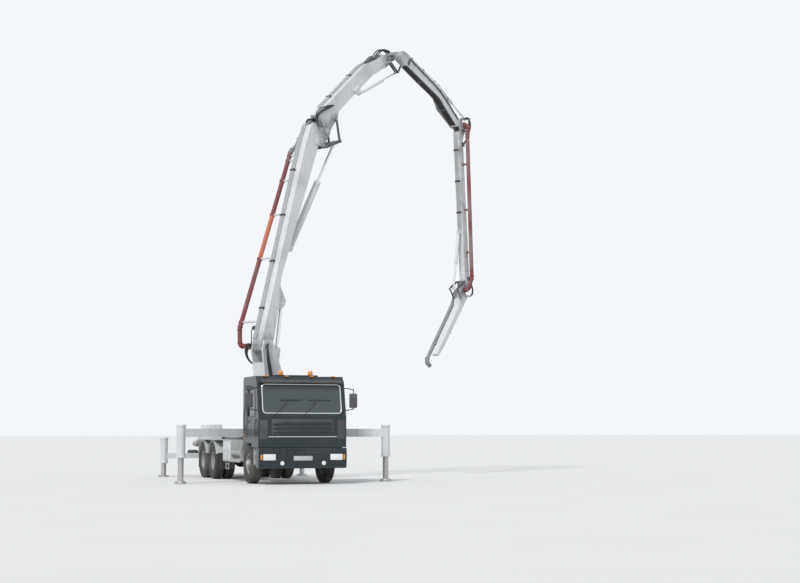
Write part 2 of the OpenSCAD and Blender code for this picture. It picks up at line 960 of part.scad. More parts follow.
spring_y = 520;
spring_half = 40;
front_spring_z = 690;
rear_spring_z = 770;
spring_t = 60;
module chassis_frame() {
    color(dark_grey) {
        frame_rail();
        mirror([0, 1, 0])
            frame_rail();
        for (x = [2230, 700, -1200, -3325, -5100]) {
            translate([x, 0, rail_top - 140])
                cube([90, 2 * rail_half - 60, 150], center = true);
        }
        // Cab mounts and bumper arms
        for (y = [-rail_half, rail_half - 80]) {
            translate([1250, y, rail_top - 60])
                cube([100, 80, cab_floor + 120 - rail_top]);
            translate([2160, y, rail_top - 60])
                cube([120, 80, cab_floor - rail_top]);
            translate([2300, y, 800])
                cube([cab_front_x - 2560, 80, 120]);
        }
        // Spring hangers
        for (y = [-spring_y - spring_half, rail_half - 10]) {
            for (x = [axle_front_x - 620, axle_front_x + 560]) {
                translate([x, y, front_spring_z + spring_t])
                    cube([90, spring_y + spring_half - rail_half + 10, 90]);
            }
            translate([(axle_mid_x + axle_rear_x) / 2 - 110, y, rear_spring_z + spring_t])
                cube([220, spring_y + spring_half - rail_half + 10, 120]);
        }
        beam_housing();
    }
}

// Sleeve of the two rear outrigger beams, one behind the other
beam_w = 180;
beam_h = 160;
beam_z = 570;
beam_step = 220;
module beam_housing() {
    difference() {
        translate([rear_beam_x - beam_step - beam_w / 2 - 25, -930, beam_z - 25])
            cube([beam_step + beam_w + 50, 1860, rail_top - 280 - beam_z + 25]);
        for (x = [0, -beam_step]) {
            translate([rear_beam_x + x - beam_w / 2 - 5, -931, beam_z - 0.3])
                cube([beam_w + 10, 1862, beam_h + 5.3]);
        }
    }
}

module axles() {
    color(dark_grey) {
        for (x = [axle_mid_x, axle_rear_x]) {
            ypin(75, -track_rear, track_rear, x, tyre_d / 2);
            translate([x, 0, tyre_d / 2])
                sphere(r = 230);
            for (y = [-1, 1]) {
                translate([x - 60, y * spring_y - 50, tyre_d / 2])
                    cube([120, 100, rear_spring_z - tyre_d / 2]);
            }
        }
        difference() {
            union() {
                translate([axle_front_x - 60, -kingpin_y + 45, kingpin_z])
                    cube([120, 2 * kingpin_y - 90, 100]);
                for (y = [-1, 1]) {
                    translate([axle_front_x, y * kingpin_y, kingpin_z])
                        cylinder(r = 58, h = 100);
                }
            }
            for (y = [-1, 1]) {
                translate([axle_front_x, y * kingpin_y, kingpin_z - 1])
                    cylinder(r = 30 + pin_gap, h = 102);
            }
        }
        for (y = [-1, 1]) {
            translate([axle_front_x - 70, y * spring_y - 45, kingpin_z + 50])
                cube([140, 90, front_spring_z - kingpin_z - 50]);
            // Leaf springs, front and rear
            translate([axle_front_x - 640, y * spring_y - spring_half, front_spring_z])
                cube([1300, 2 * spring_half, spring_t]);
            translate([axle_rear_x - 90, y * spring_y - spring_half, rear_spring_z])
                cube([axle_mid_x - axle_rear_x + 180, 2 * spring_half, spring_t]);
        }
    }
}

kingpin_y = 790;
kingpin_z = 420;
module knuckle_left() {
    color(dark_grey)
        translate([axle_front_x, 0, 0]) {
            translate([0, kingpin_y, kingpin_z - 32])
                cylinder(r = 30, h = 172);
            for (z = [kingpin_z - 32, kingpin_z + 106]) {
                translate([-50, kingpin_y - 40, z])
                    cube([100, 106, 26]);
            }
            translate([-60, kingpin_y + 66, kingpin_z - 32])
                cube([120, 20, 230]);
            ypin(48, kingpin_y + 70, track_front - 20, 0, tyre_d / 2);
        }
}

module knuckle_right() {
    mirror([0, 1, 0])
        knuckle_left();
}

// Tyre and rim turned about Y; y is the outer face's side
module tyre_section(w) {
    r = tyre_d / 2;
    polygon([
        [270, -w * 0.36], [300, -w * 0.46], [r - 120, -w / 2], [r - 40, -w * 0.47], [r - 8, -w * 0.38],
        [r, -w * 0.3], [r, w * 0.3], [r - 8, w * 0.38], [r - 40, w * 0.47], [r - 120, w / 2],
        [300, w * 0.46], [270, w * 0.36],
    ]);
}

module wheel_front() {
    color(tyre_black)
        rotate([90, 0, 0])
            difference() {
                union() {
                    rotate_extrude($fn = 48)
                        tyre_section(tyre_w);
                    difference() {
                        translate([0, 0, -tyre_w * 0.36])
                            cylinder(r = 275, h = tyre_w * 0.72, $fn = 48);
                        translate([0, 0, -tyre_w * 0.36 - 1])
                            cylinder(r = 245, h = tyre_w * 0.36 - 19);
                        translate([0, 0, 4])
                            cylinder(r = 245, h = tyre_w * 0.36);
                    }
                    translate([0, 0, -150])
                        cylinder(r = 110, h = 250);
                }
                translate([0, 0, -20])
                    cylinder(r = 48 + pin_gap, h = 200);
            }
}

module wheel_front_left() {
    translate([axle_front_x, track_front, tyre_d / 2])
        wheel_front();
}

module wheel_front_right() {
    mirror([0, 1, 0])
        wheel_front_left();
}

module wheel_twin(x) {
    w = 275;
    translate([x, track_rear, tyre_d / 2])
        color(tyre_black)
            rotate([90, 0, 0])
                difference() {
                    union() {
                        for (s = [-1, 1]) {
                            translate([0, 0, s * 162])
                                rotate_extrude($fn = 48)
                                    tyre_section(w);
                        }
                        difference() {
                            translate([0, 0, -262])
                                cylinder(r = 275, h = 524, $fn = 48);
                            translate([0, 0, -263])
                                cylinder(r = 245, h = 190);
                            translate([0, 0, 40])
                                cylinder(r = 245, h = 230);
                        }
                        translate([0, 0, -200])
                            cylinder(r = 130, h = 300);
                    }
                    translate([0, 0, -20])
                        cylinder(r = 75 + pin_gap, h = 300);
                }
}

module wheel_mid_left() {
    wheel_twin(axle_mid_x);
}

module wheel_mid_right() {
    mirror([0, 1, 0])
        wheel_twin(axle_mid_x);
}

module wheel_rear_left() {
    wheel_twin(axle_rear_x);
}

module wheel_rear_right() {
    mirror([0, 1, 0])
        wheel_twin(axle_rear_x);
}

// Cab
cab_front_x = cab_rear_x + cab_len;
module cab_outline(d) {
    polygon([
        [cab_rear_x + d, cab_floor + 60 + d], [cab_rear_x + d, cab_top - 80 - d],
        [cab_rear_x + 80 + d, cab_top - d], [cab_front_x - 380, cab_top - d],
        [cab_front_x - 220 - d, cab_top - 160], [cab_front_x - 30 - d, 1880],
        [cab_front_x - d, 1780], [cab_front_x - d, cab_floor - 60 + d],
        [axle_front_x + 640, cab_floor - 60 + d], [axle_front_x + 560, cab_floor + 60 + d],
    ]);
}

door_x0 = 1560;
door_x1 = 2520;
door_z0 = 1100;
door_z1 = 2640;
module door_outline(d) {
    polygon([
        [door_x0 + d, door_z0 + d + 160], [door_x0 + d, door_z1 - d], [door_x1 - 60 - d, door_z1 - d],
        [door_x1 - d, door_z1 - 360], [door_x1 - d, door_z0 + d], [door_x0 + 360, door_z0 + d],
    ]);
}

module door_window(d) {
    polygon([
        [door_x0 + 90 - d, 1820 - d], [door_x0 + 90 - d, door_z1 - 80 + d],
        [door_x1 - 130 + d, door_z1 - 80 + d], [door_x1 - 70 + d, door_z1 - 360], [door_x1 - 70 + d, 1820 - d],
    ]);
}

screen_z0 = 1900;
screen_z1 = 2680;
module cab_shell() {
    color(cab_green)
        difference() {
            slab(-cab_half, cab_half)
                cab_outline(0);
            slab(-cab_half + cab_wall, cab_half - cab_wall)
                cab_outline(cab_wall);
            slab(-cab_half - 1, cab_half + 1)
                door_outline(-6);
            translate([cab_front_x - 300, -cab_half + 130, screen_z0])
                cube([400, 2 * cab_half - 260, screen_z1 - screen_z0]);
        }
}

module door() {
    slab(cab_half - cab_wall, cab_half)
        difference() {
            door_outline(0);
            door_window(0);
        }
    translate([door_x0 + 130, cab_half - 3, door_z0 + 560])
        rotate([0, 90, 0])
            cylinder(r = 14, h = 180);
}

module door_left() {
    color(cab_green)
        door();
}

module door_right() {
    color(cab_green)
        mirror([0, 1, 0])
            door();
}

module cab_glass() {
    color([0.3, 0.35, 0.38, 0.5])
        slab(-cab_half + 130.3, cab_half - 130.3)
            polygon([
                [cab_front_x - 38, screen_z0 + 0.3], [cab_front_x - 50, screen_z0 + 0.3],
                [cab_front_x - 223, screen_z1 - 0.3], [cab_front_x - 211, screen_z1 - 0.3],
            ]);
}

module cab_interior() {
    floor_z = cab_floor + 60 + cab_wall;
    color(dark_grey) {
        for (y = [-600, 600]) {
            translate([1350, y - 240, floor_z])
                cube([520, 480, 420]);
            translate([1280, y - 240, floor_z])
                cube([140, 480, 1050]);
        }
        translate([cab_front_x - 480, -1050, cab_floor + 400])
            cube([480 - cab_wall, 2100, 330]);
        // Steering wheel on its column
        translate([cab_front_x - 620, 600, 1830])
            rotate([0, 30, 0]) {
                cylinder(r = 230, h = 30);
                translate([0, 0, -330])
                    cylinder(r = 35, h = 340);
            }
    }
}

module bumper() {
    color(cab_green)
        slab(-cab_half, cab_half)
            polygon([
                [cab_front_x - 260, 480], [cab_front_x - 30, 430], [cab_front_x + 40, 480],
                [cab_front_x + 50, 900], [cab_front_x + 20, 975], [cab_front_x - 260, 975],
            ]);
}

module engine() {
    color(dark_grey) {
        translate([900, -320, 620])
            cube([1080, 640, 470]);
        for (x = [1050, 1750]) {
            translate([x, 80 - rail_half, 800])
                cube([90, 2 * rail_half - 160, 60]);
        }
    }
}

// Superstructure
module pedestal() {
    color("silver") {
        difference() {
            translate([0, 0, rail_top])
                cylinder(r = 560, h = ring_top - rail_top - pin_gap);
            translate([0, 0, rail_top - 1])
                cylinder(r = 90, h = 800);
            translate([-600, -90, line0_z - 90])
                cube([600, 180, 180]);
        }
        translate([-700, -rail_half, rail_top])
            cube([1500, 2 * rail_half, 200]);
        // Subframe rails
        for (y = [-rail_half, rail_half - 80]) {
            translate([hopper_x1, y, rail_top])
                cube([-700 - hopper_x1, 80, 100]);
        }
        for (y = [-1, 1]) {
            translate([leg_hinge_x - 160, y > 0 ? rail_half - 40 : -hinge_y + 120, leg_z0 - 30])
                cube([320, hinge_y - rail_half - 80, leg_z1 - leg_z0 + 60]);
            for (z = [leg_z0 - 30, leg_z1 + 5]) {
                translate([leg_hinge_x, y * hinge_y, z])
                    cylinder(r = 105, h = 25);
                translate([leg_hinge_x - 105, y > 0 ? hinge_y - 200 : -hinge_y, z])
                    cube([210, 200, 25]);
            }
            translate([leg_hinge_x, y * hinge_y, leg_z0 - 30])
                cylinder(r = 50, h = leg_z1 - leg_z0 + 60);
        }
    }
}

leg_hinge_x = 500;
hinge_y = 950;
leg_z0 = 1262;
leg_z1 = 1488;
module leg(a) {
    // Box leg along X from its hinge, with the jack's sleeve at its end
    rotate([0, 0, a]) {
        difference() {
            union() {
                translate([60, -95, leg_z0])
                    cube([leg_len - 60, 190, leg_z1 - leg_z0]);
                translate([0, 0, leg_z0])
                    cylinder(r = 105, h = leg_z1 - leg_z0);
                translate([leg_len, 0, 700])
                    cylinder(r = 120, h = 900);
            }
            translate([leg_len, 0, 650])
                cylinder(r = 80 + pin_gap, h = 1000);
            translate([0, 0, leg_z0 - 1])
                cylinder(r = 50 + pin_gap, h = 300);
        }
    }
}

module outrigger_front_left() {
    color(boom_white)
        translate([leg_hinge_x, hinge_y, 0])
            leg(leg_angle);
}

module outrigger_front_right() {
    mirror([0, 1, 0])
        outrigger_front_left();
}

rear_beam_x = -4830;
side_beam_y = 1060;
rear_end_y = side_beam_y + beam_out;
module rear_beam() {
    difference() {
        union() {
            translate([-beam_w / 2, -600 + beam_out, beam_z])
                cube([beam_w, rear_end_y + 600 - beam_out, beam_h]);
            translate([0, rear_end_y, 420])
                cylinder(r = 120, h = 800);
        }
        translate([0, rear_end_y, 400])
            cylinder(r = 80 + pin_gap, h = 1000);
    }
}

module outrigger_rear_left() {
    color(boom_white)
        translate([rear_beam_x, 0, 0])
            rear_beam();
}

module outrigger_rear_right() {
    color(boom_white)
        translate([rear_beam_x - beam_step, 0, 0])
            mirror([0, 1, 0])
                rear_beam();
}

module jack(h) {
    cylinder(r = 80, h = h);
    cylinder(r = foot_r, h = 40);
}

module jack_front_left() {
    color("silver")
        translate([leg_hinge_x, hinge_y, 0])
            rotate([0, 0, leg_angle])
                translate([leg_len, 0, 0])
                    jack(1500);
}

module jack_front_right() {
    mirror([0, 1, 0])
        jack_front_left();
}

module jack_rear_left() {
    color("silver")
        translate([rear_beam_x, rear_end_y, 0])
            jack(1120);
}

module jack_rear_right() {
    color("silver")
        translate([rear_beam_x - beam_step, -rear_end_y, 0])
            jack(1120);
}

pump_z = 1290;
line0_z = 1400;
pump_r = 120;
module pump_unit() {
    color(steel_grey) {
        for (y = [-170, 170]) {
            translate([hopper_x1, y, pump_z])
                rotate([0, 90, 0])
                    cylinder(r = pump_r, h = 3300);
        }
        for (x = [-4600, -2200]) {
            translate([x, -rail_half, rail_top + 100])
                cube([200, 2 * rail_half, 90]);
        }
        translate([-3500, -320, pump_z - 150])
            cube([500, 640, 300]);
        // Delivery line from the hopper's outlet to the middle of the slewing ring
        pipe_run([
            [hopper_x0, 0, 850], [hopper_x0 - 190, 0, 850], [hopper_x0 - 190, -900, 1000],
            [hopper_x1 + 60, -900, 1250], [hopper_x1 + 280, -640, 1250], [-2120, -640, 1250],
            [-1700, 0, line0_z], [0, 0, line0_z], [0, 0, ring_top - 2],
        ], pipe_r);
    }
}

hopper_x0 = -6500;
hopper_x1 = -5400;
hopper_top = 1420;
module hopper() {
    color("silver") {
        difference() {
            translate([hopper_x0, -800, 620])
                cube([hopper_x1 - hopper_x0, 1600, hopper_top - 620]);
            slab(-760, 760)
                polygon([
                    [hopper_x0 + 40, hopper_top + 1], [hopper_x0 + 40, hopper_top - 250], [hopper_x0 + 350, 700],
                    [hopper_x1 - 350, 700], [hopper_x1 - 40, hopper_top - 250], [hopper_x1 - 40, hopper_top + 1],
                ]);
        }
        // Agitator shaft with its paddles
        ypin(30, -770, 770, (hopper_x0 + hopper_x1) / 2, 850);
        for (y = [-560, -200, 160, 520]) {
            translate([(hopper_x0 + hopper_x1) / 2 - 18, y - 40, 725])
                cube([36, 80, 250]);
        }
        ypin(12, -320, 320, grate_x, grate_z);
        for (y = [-320, 300]) {
            translate([grate_x - 14, y, hopper_top - 5])
                cube([28, 20, 34]);
        }
    }
}

grate_x = -5430;
grate_z = 1437;
module hopper_grate() {
    color(dark_grey)
        difference() {
            union() {
                difference() {
                    translate([hopper_x0 + 5, -790, hopper_top + 0.3])
                        cube([grate_x - 30 - hopper_x0 - 5, 1580, 30]);
                    for (x = [hopper_x0 + 60 : 90 : grate_x - 130]) {
                        translate([x, -730, hopper_top - 1])
                            cube([60, 1460, 40]);
                    }
                }
                for (y = [-260, 200]) {
                    translate([grate_x - 40, y, hopper_top + 5])
                        cube([40, 60, 25]);
                    ypin(16, y, y + 60, grate_x, grate_z);
                }
            }
            ypin(12 + pin_gap, -400, 400, grate_x, grate_z);
        }
}

guard_r = 598;
module mudguard(x, side) {
    translate([x, 0, 0]) {
        slab(side > 0 ? 640 : -1230, side > 0 ? 1230 : -640)
            difference() {
                translate([0, tyre_d / 2])
                    circle(guard_r, $fn = 64);
                translate([0, tyre_d / 2])
                    circle(guard_r - 8, $fn = 64);
                translate([-700, -200])
                    square([1400, 950]);
            }
        translate([-30, side > 0 ? rail_half : -650, rail_top + 40])
            cube([60, 650 - rail_half, tyre_d / 2 + guard_r - rail_top - 44]);
    }
}

module body_sides() {
    color("silver")
        for (y = [-1, 1]) {
            translate([-1400, y > 0 ? rail_half : -1180, 560])
                cube([950, 1180 - rail_half, 600]);
            for (x = [axle_mid_x, axle_rear_x]) {
                mudguard(x, y);
            }
        }
}

chassis_frame();
axles();
knuckle_left();
knuckle_right();
wheel_front_left();
wheel_front_right();
wheel_mid_left();
wheel_mid_right();
wheel_rear_left();
wheel_rear_right();
cab_shell();
door_left();
door_right();
cab_glass();
cab_interior();
bumper();
engine();
pedestal();
outrigger_front_left();
outrigger_front_right();
outrigger_rear_left();
outrigger_rear_right();
jack_front_left();
jack_front_right();
jack_rear_left();
jack_rear_right();
pump_unit();
hopper();
hopper_grate();
body_sides();
turret();
boom_1();
boom_2();
boom_3();
boom_4();
boom_5();
pipe_1();
pipe_2();
pipe_3();
pipe_4();
pipe_5();
barrel_1();
barrel(0);  // barrel_2
barrel(1);  // barrel_3
barrel(2);  // barrel_4
barrel(3);  // barrel_5
rod_1();
rod(0);  // rod_2
rod(1);  // rod_3
rod(2);  // rod_4
rod(3);  // rod_5
lever(0);  // lever_2
lever(1);  // lever_3
lever(2);  // lever_4
lever(3);  // lever_5
link(0);  // link_2
link(1);  // link_3
link(2);  // link_4
link(3);  // link_5
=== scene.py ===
import json
import math

import bpy
from bpy.props import FloatProperty, FloatVectorProperty, IntProperty, PointerProperty
from mathutils import Matrix, Vector


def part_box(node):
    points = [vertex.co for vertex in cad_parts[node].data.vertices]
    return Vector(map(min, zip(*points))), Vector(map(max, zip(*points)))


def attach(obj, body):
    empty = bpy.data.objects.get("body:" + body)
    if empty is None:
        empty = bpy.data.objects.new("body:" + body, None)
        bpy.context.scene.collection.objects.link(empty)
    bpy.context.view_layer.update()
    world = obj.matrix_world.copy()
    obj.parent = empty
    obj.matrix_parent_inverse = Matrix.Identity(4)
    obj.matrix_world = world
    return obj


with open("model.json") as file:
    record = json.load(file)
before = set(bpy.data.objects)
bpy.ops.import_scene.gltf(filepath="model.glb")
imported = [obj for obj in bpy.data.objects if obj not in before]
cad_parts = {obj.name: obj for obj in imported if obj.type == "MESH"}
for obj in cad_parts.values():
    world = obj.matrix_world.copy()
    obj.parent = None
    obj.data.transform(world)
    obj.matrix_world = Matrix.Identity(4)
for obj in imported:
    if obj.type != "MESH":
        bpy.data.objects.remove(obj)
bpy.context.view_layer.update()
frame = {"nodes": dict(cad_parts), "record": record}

bl_info = {
    "name": "Concrete pump truck",
    "version": (1, 0, 0),
    "blender": (4, 5, 0),
    "location": "View3D > Sidebar > Pump truck",
    "description": "Dresses the packed pump truck with its finishes, lines, cab fittings and deck gear",
    "category": "Object",
}

NODES = frame["nodes"]
Y_AXIS = (0, 1, 0)
Z_AXIS = (0, 0, 1)

# Camera at the photograph's place: position, level heading, tilt in degrees, lens in pixels
CAMERA_AT = (41.085, -11.150, 1.45)
CAMERA_HEADING = (-0.9397, 0.342)
CAMERA_TILT = 5.36
LENS_PIXELS = 1477
PHOTO_WIDTH = 800
SENSOR_WIDTH = 36.0

# The boom's plane at rest: outward and sideways directions, and the root pivot
OUT = Vector((-0.5, 0.8660254, 0.0))
SIDE = Vector((-0.8660254, -0.5, 0.0))
UP = Vector((0.0, 0.0, 1.0))
ROOT_BACK = 0.55
ROOT_HEIGHT = 3.86
# Name: distance out, height above the root, direction in degrees, place across the plane
SECTIONS = {
    "boom_1": (0.0, 0.0, 69.4, 0.0),
    "boom_2": (2.4559, 6.5337, 42.0, 0.0),
    "boom_3": (5.4358, 9.3514, -24.9, -0.58),
    "boom_3_tip": (8.5711, 7.6034, -42.6, -0.58),
    "boom_4": (8.5711, 7.6034, -86.0, -0.58),
    "boom_5": (8.5323, 2.1374, -125.8, -0.58),
    "turret": (ROOT_BACK, -ROOT_HEIGHT, 0.0, 0.0),
}

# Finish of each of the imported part's slots
FINISH_OF_SLOT = {
    "boom_white": "white", "cab_green": "cab", "chassis_dark": "dark", "deck_grey": "deck",
    "linkage_dark": "linkage", "pipe_red": "pipe_red", "pipe_grey": "pipe_grey", "jack_grey": "steel",
    "rod_chrome": "chrome", "tyre": "rubber", "glass": "glass", "interior": "inside",
}
# Slot of each finish that a piece can have
SLOT_OF_FINISH = {finish: slot for slot, finish in FINISH_OF_SLOT.items()}
SLOT_OF_FINISH.update(
    boom_1="boom_white", boom_2="boom_white", hopper="boom_white", hose="chassis_dark", bright="jack_grey",
    lamp="glass", amber="glass", red="glass", mirror="glass",
)
FINISH = {}

# Hydraulic lines of a section: the outline they follow as (x, z), how far they stand off it, their
# places across the beam, and a factor on the spacing of their clamps
LINE_RUNS = {
    "boom_1": (
        [(0.1, 0.23), (0.3, 0.23), (6.08, 0.65), (6.82, 0.65), (6.93, 0.6)],
        0.04, (0.04, 0.08, 0.12, 0.16), 1.0,
    ),
    "boom_2": (
        [(0.45, 0.59), (2.9, 0.59), (3.6, 0.4), (4.04, 0.29)],
        0.035, (0.03, 0.07, 0.11, 0.15), 0.8,
    ),
    "boom_3": (
        [(0.1, 0.17), (1.99, 0.17), (2.17, 0.112), (3.38, -0.295)],
        0.024, (-0.09, -0.068, 0.068, 0.09), 0.5,
    ),
    "boom_4": ([(0.3, -0.32), (3.39, -0.32)], -0.03, (-0.06, -0.02, 0.02, 0.06), 0.75),
    "boom_5": ([(0.1, 0.3), (2.0, 0.262)], 0.03, (-0.04, 0.0, 0.04), 0.7),
}

# Hoses that loop from the end of one section's lines to the next pivot, in the section's frame
HOSE_RADIUS = 0.019
HOSE_LOOPS = {
    "boom_1": [
        [(6.9, y, 0.62), (7.1, y, 0.66), (7.22, y + 0.03, 0.42), (7.2, 0.2, 0.16), (7.05, 0.225, 0.02)]
        for y in (-0.09, -0.02, 0.05, 0.11)
    ],
    "boom_2": [
        [
            (3.5, y, 0.43), (3.72, y, 0.5 + dz), (3.98, y, 0.5 + dz), (4.22, y, 0.36 + dz),
            (4.29, y - 0.02, 0.19), (4.2, y - 0.04, 0.12),
        ]
        for y, dz in ((-0.12, 0.0), (-0.07, 0.03), (-0.02, 0.01), (0.05, 0.04))
    ] + [
        [
            (0.8, -0.19, 0.42), (0.45, -0.21, 0.5 + dz), (0.1, -0.215, 0.62 + dz), (-0.14, -0.21, 0.55 + dz),
            (-0.2, -0.2, 0.36),
        ]
        for dz in (0.0, 0.06, 0.12)
    ],
    "boom_3": [
        # These five hoses run along section 3's underside, and also darken it as painted shade
        [
            (0.3, y, -0.19), (0.9, y, -0.2), (1.5, y, -0.188), (2.05, y, -0.18), (2.3, y, -0.245),
            (2.8, y, -0.39), (3.22, y, -0.515), (3.36, y, -0.44),
        ]
        for y in (-0.09, -0.045, 0.0, 0.045, 0.09)
    ] + [
        [
            (0.35, -0.14, 0.1), (0.8, -0.15, 0.07), (1.3, -0.148, 0.075), (1.9, -0.145, 0.06),
            (2.25, -0.145, 0.0), (2.8, -0.145, -0.15), (3.2, -0.145, -0.27),
        ],
    ],
    "boom_4": [
        [
            (0.62, -0.13 + dy, -0.1), (0.4, -0.15 + dy, 0.12), (0.1, -0.165 + dy, 0.26 + dz),
            (-0.2, -0.175 + dy, 0.27 + dz), (-0.31, -0.175 + dy, 0.1), (-0.24, -0.17 + dy, 0.0),
        ]
        for dy, dz in ((0.0, 0.0), (0.01, 0.05), (-0.03, -0.06))
    ] + [
        [
            (5.05, -0.125, -0.14), (5.3, -0.15, 0.0), (5.55, -0.155, 0.02 + dz), (5.68, -0.15, -0.14),
            (5.62, -0.145, -0.3),
        ]
        for dz in (0.0, 0.06)
    ],
}
# Valve blocks and hose clips of a section, as pairs of corners
HOSE_BLOCKS = {
    "boom_2": [
        ((3.1, -0.15, 0.5), (3.42, 0.0, 0.62)), ((3.44, -0.16, 0.43), (3.54, 0.06, 0.52)),
        ((-0.24, -0.225, 0.3), (-0.14, -0.17, 0.4)),
    ],
    "boom_3": [
        ((0.28, -0.15, -0.12), (0.36, -0.115, 0.12)), ((2.0, -0.155, 0.0), (2.06, -0.115, 0.09)),
        ((1.1, -0.115, -0.215), (1.15, 0.115, -0.16)), ((2.5, -0.115, -0.34), (2.56, 0.115, -0.28)),
    ],
    "boom_4": [
        ((0.56, -0.14, -0.16), (0.7, -0.105, -0.04)), ((5.0, -0.14, -0.2), (5.12, -0.105, -0.1)),
    ],
}

# Retainer plates of a section: x, y and z of the pin's end, plate's radius, number of screws
PIN_CAPS = {
    "boom_1": [(6.98, 0.212, 0, 0.1, 6), (6.98, -0.212, 0, 0.1, 6)],
    "boom_2": [(4.1, 0.17, 0.1, 0.12, 6)],
    "turret": [
        (-0.55, 0.24, 3.86, 0.13, 8), (-0.55, -0.24, 3.86, 0.13, 8),
        (-0.2, 0.24, 2.11, 0.085, 6), (-0.2, -0.24, 2.11, 0.085, 6),
    ],
}

# Greasy pins of a section: frame, x, y and z of the pin, how far the grease reaches
GREASY_PINS = {
    "boom_1": [("boom_1", 0, 0, 0, 0.4), ("boom_1", 6.98, 0, 0, 0.5), ("boom_1", 6.48, 0, 0, 0.3)],
    "boom_2": [("boom_2", 0, 0, 0, 0.45), ("boom_2", 4.1, 0, 0.1, 0.45), ("boom_2", 0.59, 0, 0.05, 0.3)],
    "boom_3": [("boom_3", 0, 0.2, 0, 0.45), ("boom_3_tip", 0, 0, 0, 0.4)],
    "boom_4": [("boom_4", 0, 0, 0, 0.35), ("boom_4", 5.45, 0, -0.42, 0.35)],
    "boom_5": [("boom_5", 0, 0, 0, 0.35)],
}
# The outer sections get more dust and streaks, which make them darker than the others: (dust, streaks)
SECTION_DARKENING = {"boom_2": (0.34, 0.34), "boom_3": (0.55, 0.55), "boom_4": (0.85, 0.85)}
USUAL_DARKENING = (0.26, 0.3)


def section_frame(name):
    """Matrix from a section's own frame, X along the beam and Y across, to the row frame."""
    out, height, angle, across = SECTIONS[name]
    a = math.radians(angle)
    x = OUT * math.cos(a) + UP * math.sin(a)
    z = UP * math.cos(a) - OUT * math.sin(a)
    place = OUT * (out - ROOT_BACK) + SIDE * across + UP * (ROOT_HEIGHT + height)
    m = Matrix.Identity(4)
    for i in range(3):
        m[i][0], m[i][1], m[i][2], m[i][3] = x[i], SIDE[i], z[i], place[i]
    return m


def section_point(section, x, y, z):
    return section_frame(section) @ Vector((x, y, z))


# Modelling helpers

# Edges that turn by more than these angles are rounded by soften, and stay sharp on solids and tubes
ROUNDED_BEYOND = math.radians(40)
SHARP_BEYOND = math.radians(35)
TUBE_SHARP_BEYOND = math.radians(40)


def deselect():
    if bpy.context.object and bpy.context.object.mode != "OBJECT":
        bpy.ops.object.mode_set(mode="OBJECT")
    bpy.ops.object.select_all(action="DESELECT")


def pick(*objs):
    deselect()
    for o in objs:
        o.select_set(True)
    bpy.context.view_layer.objects.active = objs[0]


def apply_place(o):
    pick(o)
    bpy.ops.object.transform_apply(location=True, rotation=True, scale=True)
    return o


def edit_all(o):
    """Enters edit mode with the whole of a piece selected."""
    pick(o)
    bpy.ops.object.mode_set(mode="EDIT")
    bpy.ops.mesh.select_all(action="SELECT")


def apply_modifier(o, kind, **settings):
    """Adds a modifier with these settings to a piece and applies it."""
    pick(o)
    m = o.modifiers.new(kind.lower(), kind)
    for key, value in settings.items():
        setattr(m, key, value)
    bpy.ops.object.modifier_apply(modifier=m.name)
    return o


def soften(o, width, steps=2):
    """Rounds the sharper edges of a piece."""
    apply_modifier(
        o, "BEVEL", width=width, segments=steps, limit_method="ANGLE", angle_limit=ROUNDED_BEYOND
    )
    bpy.ops.object.shade_smooth_by_angle(angle=SHARP_BEYOND)
    return o


def block(lo, hi, edge=0.006, steps=2):
    """Rounded block between two corners."""
    lo, hi = Vector(lo), Vector(hi)
    deselect()
    bpy.ops.mesh.primitive_cube_add(size=1, location=(lo + hi) / 2)
    o = bpy.context.object
    o.scale = hi - lo
    apply_place(o)
    return soften(o, min(edge, min(hi - lo) * 0.4), steps)


def both_sides(boxes, edge=0.006, steps=2):
    """Blocks on the right and on the left, from pairs of corners given as on the left."""
    made = []
    for s in (-1, 1):
        for (x0, y0, z0), (x1, y1, z1) in boxes:
            right, left = sorted((s * y0, s * y1))
            made.append(block((x0, right, z0), (x1, left, z1), edge, steps))
    return made


def round_bar(p, q, radius, sides=20, edge=0.0, top=None):
    """Round bar from p to q, tapering to the radius top when that is given."""
    p, q = Vector(p), Vector(q)
    turn = (q - p).to_track_quat("Z", "Y").to_euler()
    deselect()
    bpy.ops.mesh.primitive_cone_add(
        vertices=sides, radius1=radius, radius2=radius if top is None else top,
        depth=(q - p).length, location=(p + q) / 2, rotation=turn,
    )
    o = apply_place(bpy.context.object)
    if edge:
        return soften(o, edge)
    bpy.ops.object.shade_smooth_by_angle(angle=SHARP_BEYOND)
    return o


def plate(outline, y0, y1, edge=0.004):
    """Plate between y0 and y1 whose outline is given in X and Z."""
    deselect()
    bpy.ops.mesh.primitive_circle_add(vertices=len(outline), radius=1, fill_type="NGON")
    o = bpy.context.object
    for v, (x, z) in zip(o.data.vertices, outline):
        v.co = (x, y0, z)
    edit_all(o)
    bpy.ops.mesh.extrude_region_move(TRANSFORM_OT_translate={"value": (0, y1 - y0, 0)})
    bpy.ops.mesh.select_all(action="SELECT")
    bpy.ops.mesh.normals_make_consistent(inside=False)
    bpy.ops.object.mode_set(mode="OBJECT")
    return soften(o, edge, 1) if edge else o


def tube(points, radius, smooth=True):
    """Bent tube or hose along points, or with sharp corners at them if it isn't smooth."""
    data = bpy.data.curves.new("tube", "CURVE")
    data.dimensions = "3D"
    data.bevel_depth = radius
    data.bevel_resolution = 3
    data.use_fill_caps = True
    spline = data.splines.new("NURBS" if smooth else "POLY")
    spline.points.add(len(points) - 1)
    for p, at in zip(spline.points, points):
        p.co = (*at, 1.0)
    if smooth:
        spline.order_u, spline.resolution_u, spline.use_endpoint_u = 4, 5, True
    o = bpy.data.objects.new("tube", data)
    bpy.context.scene.collection.objects.link(o)
    pick(o)
    bpy.ops.object.convert(target="MESH")
    o = bpy.context.object
    bpy.ops.object.shade_smooth_by_angle(angle=TUBE_SHARP_BEYOND)
    return o


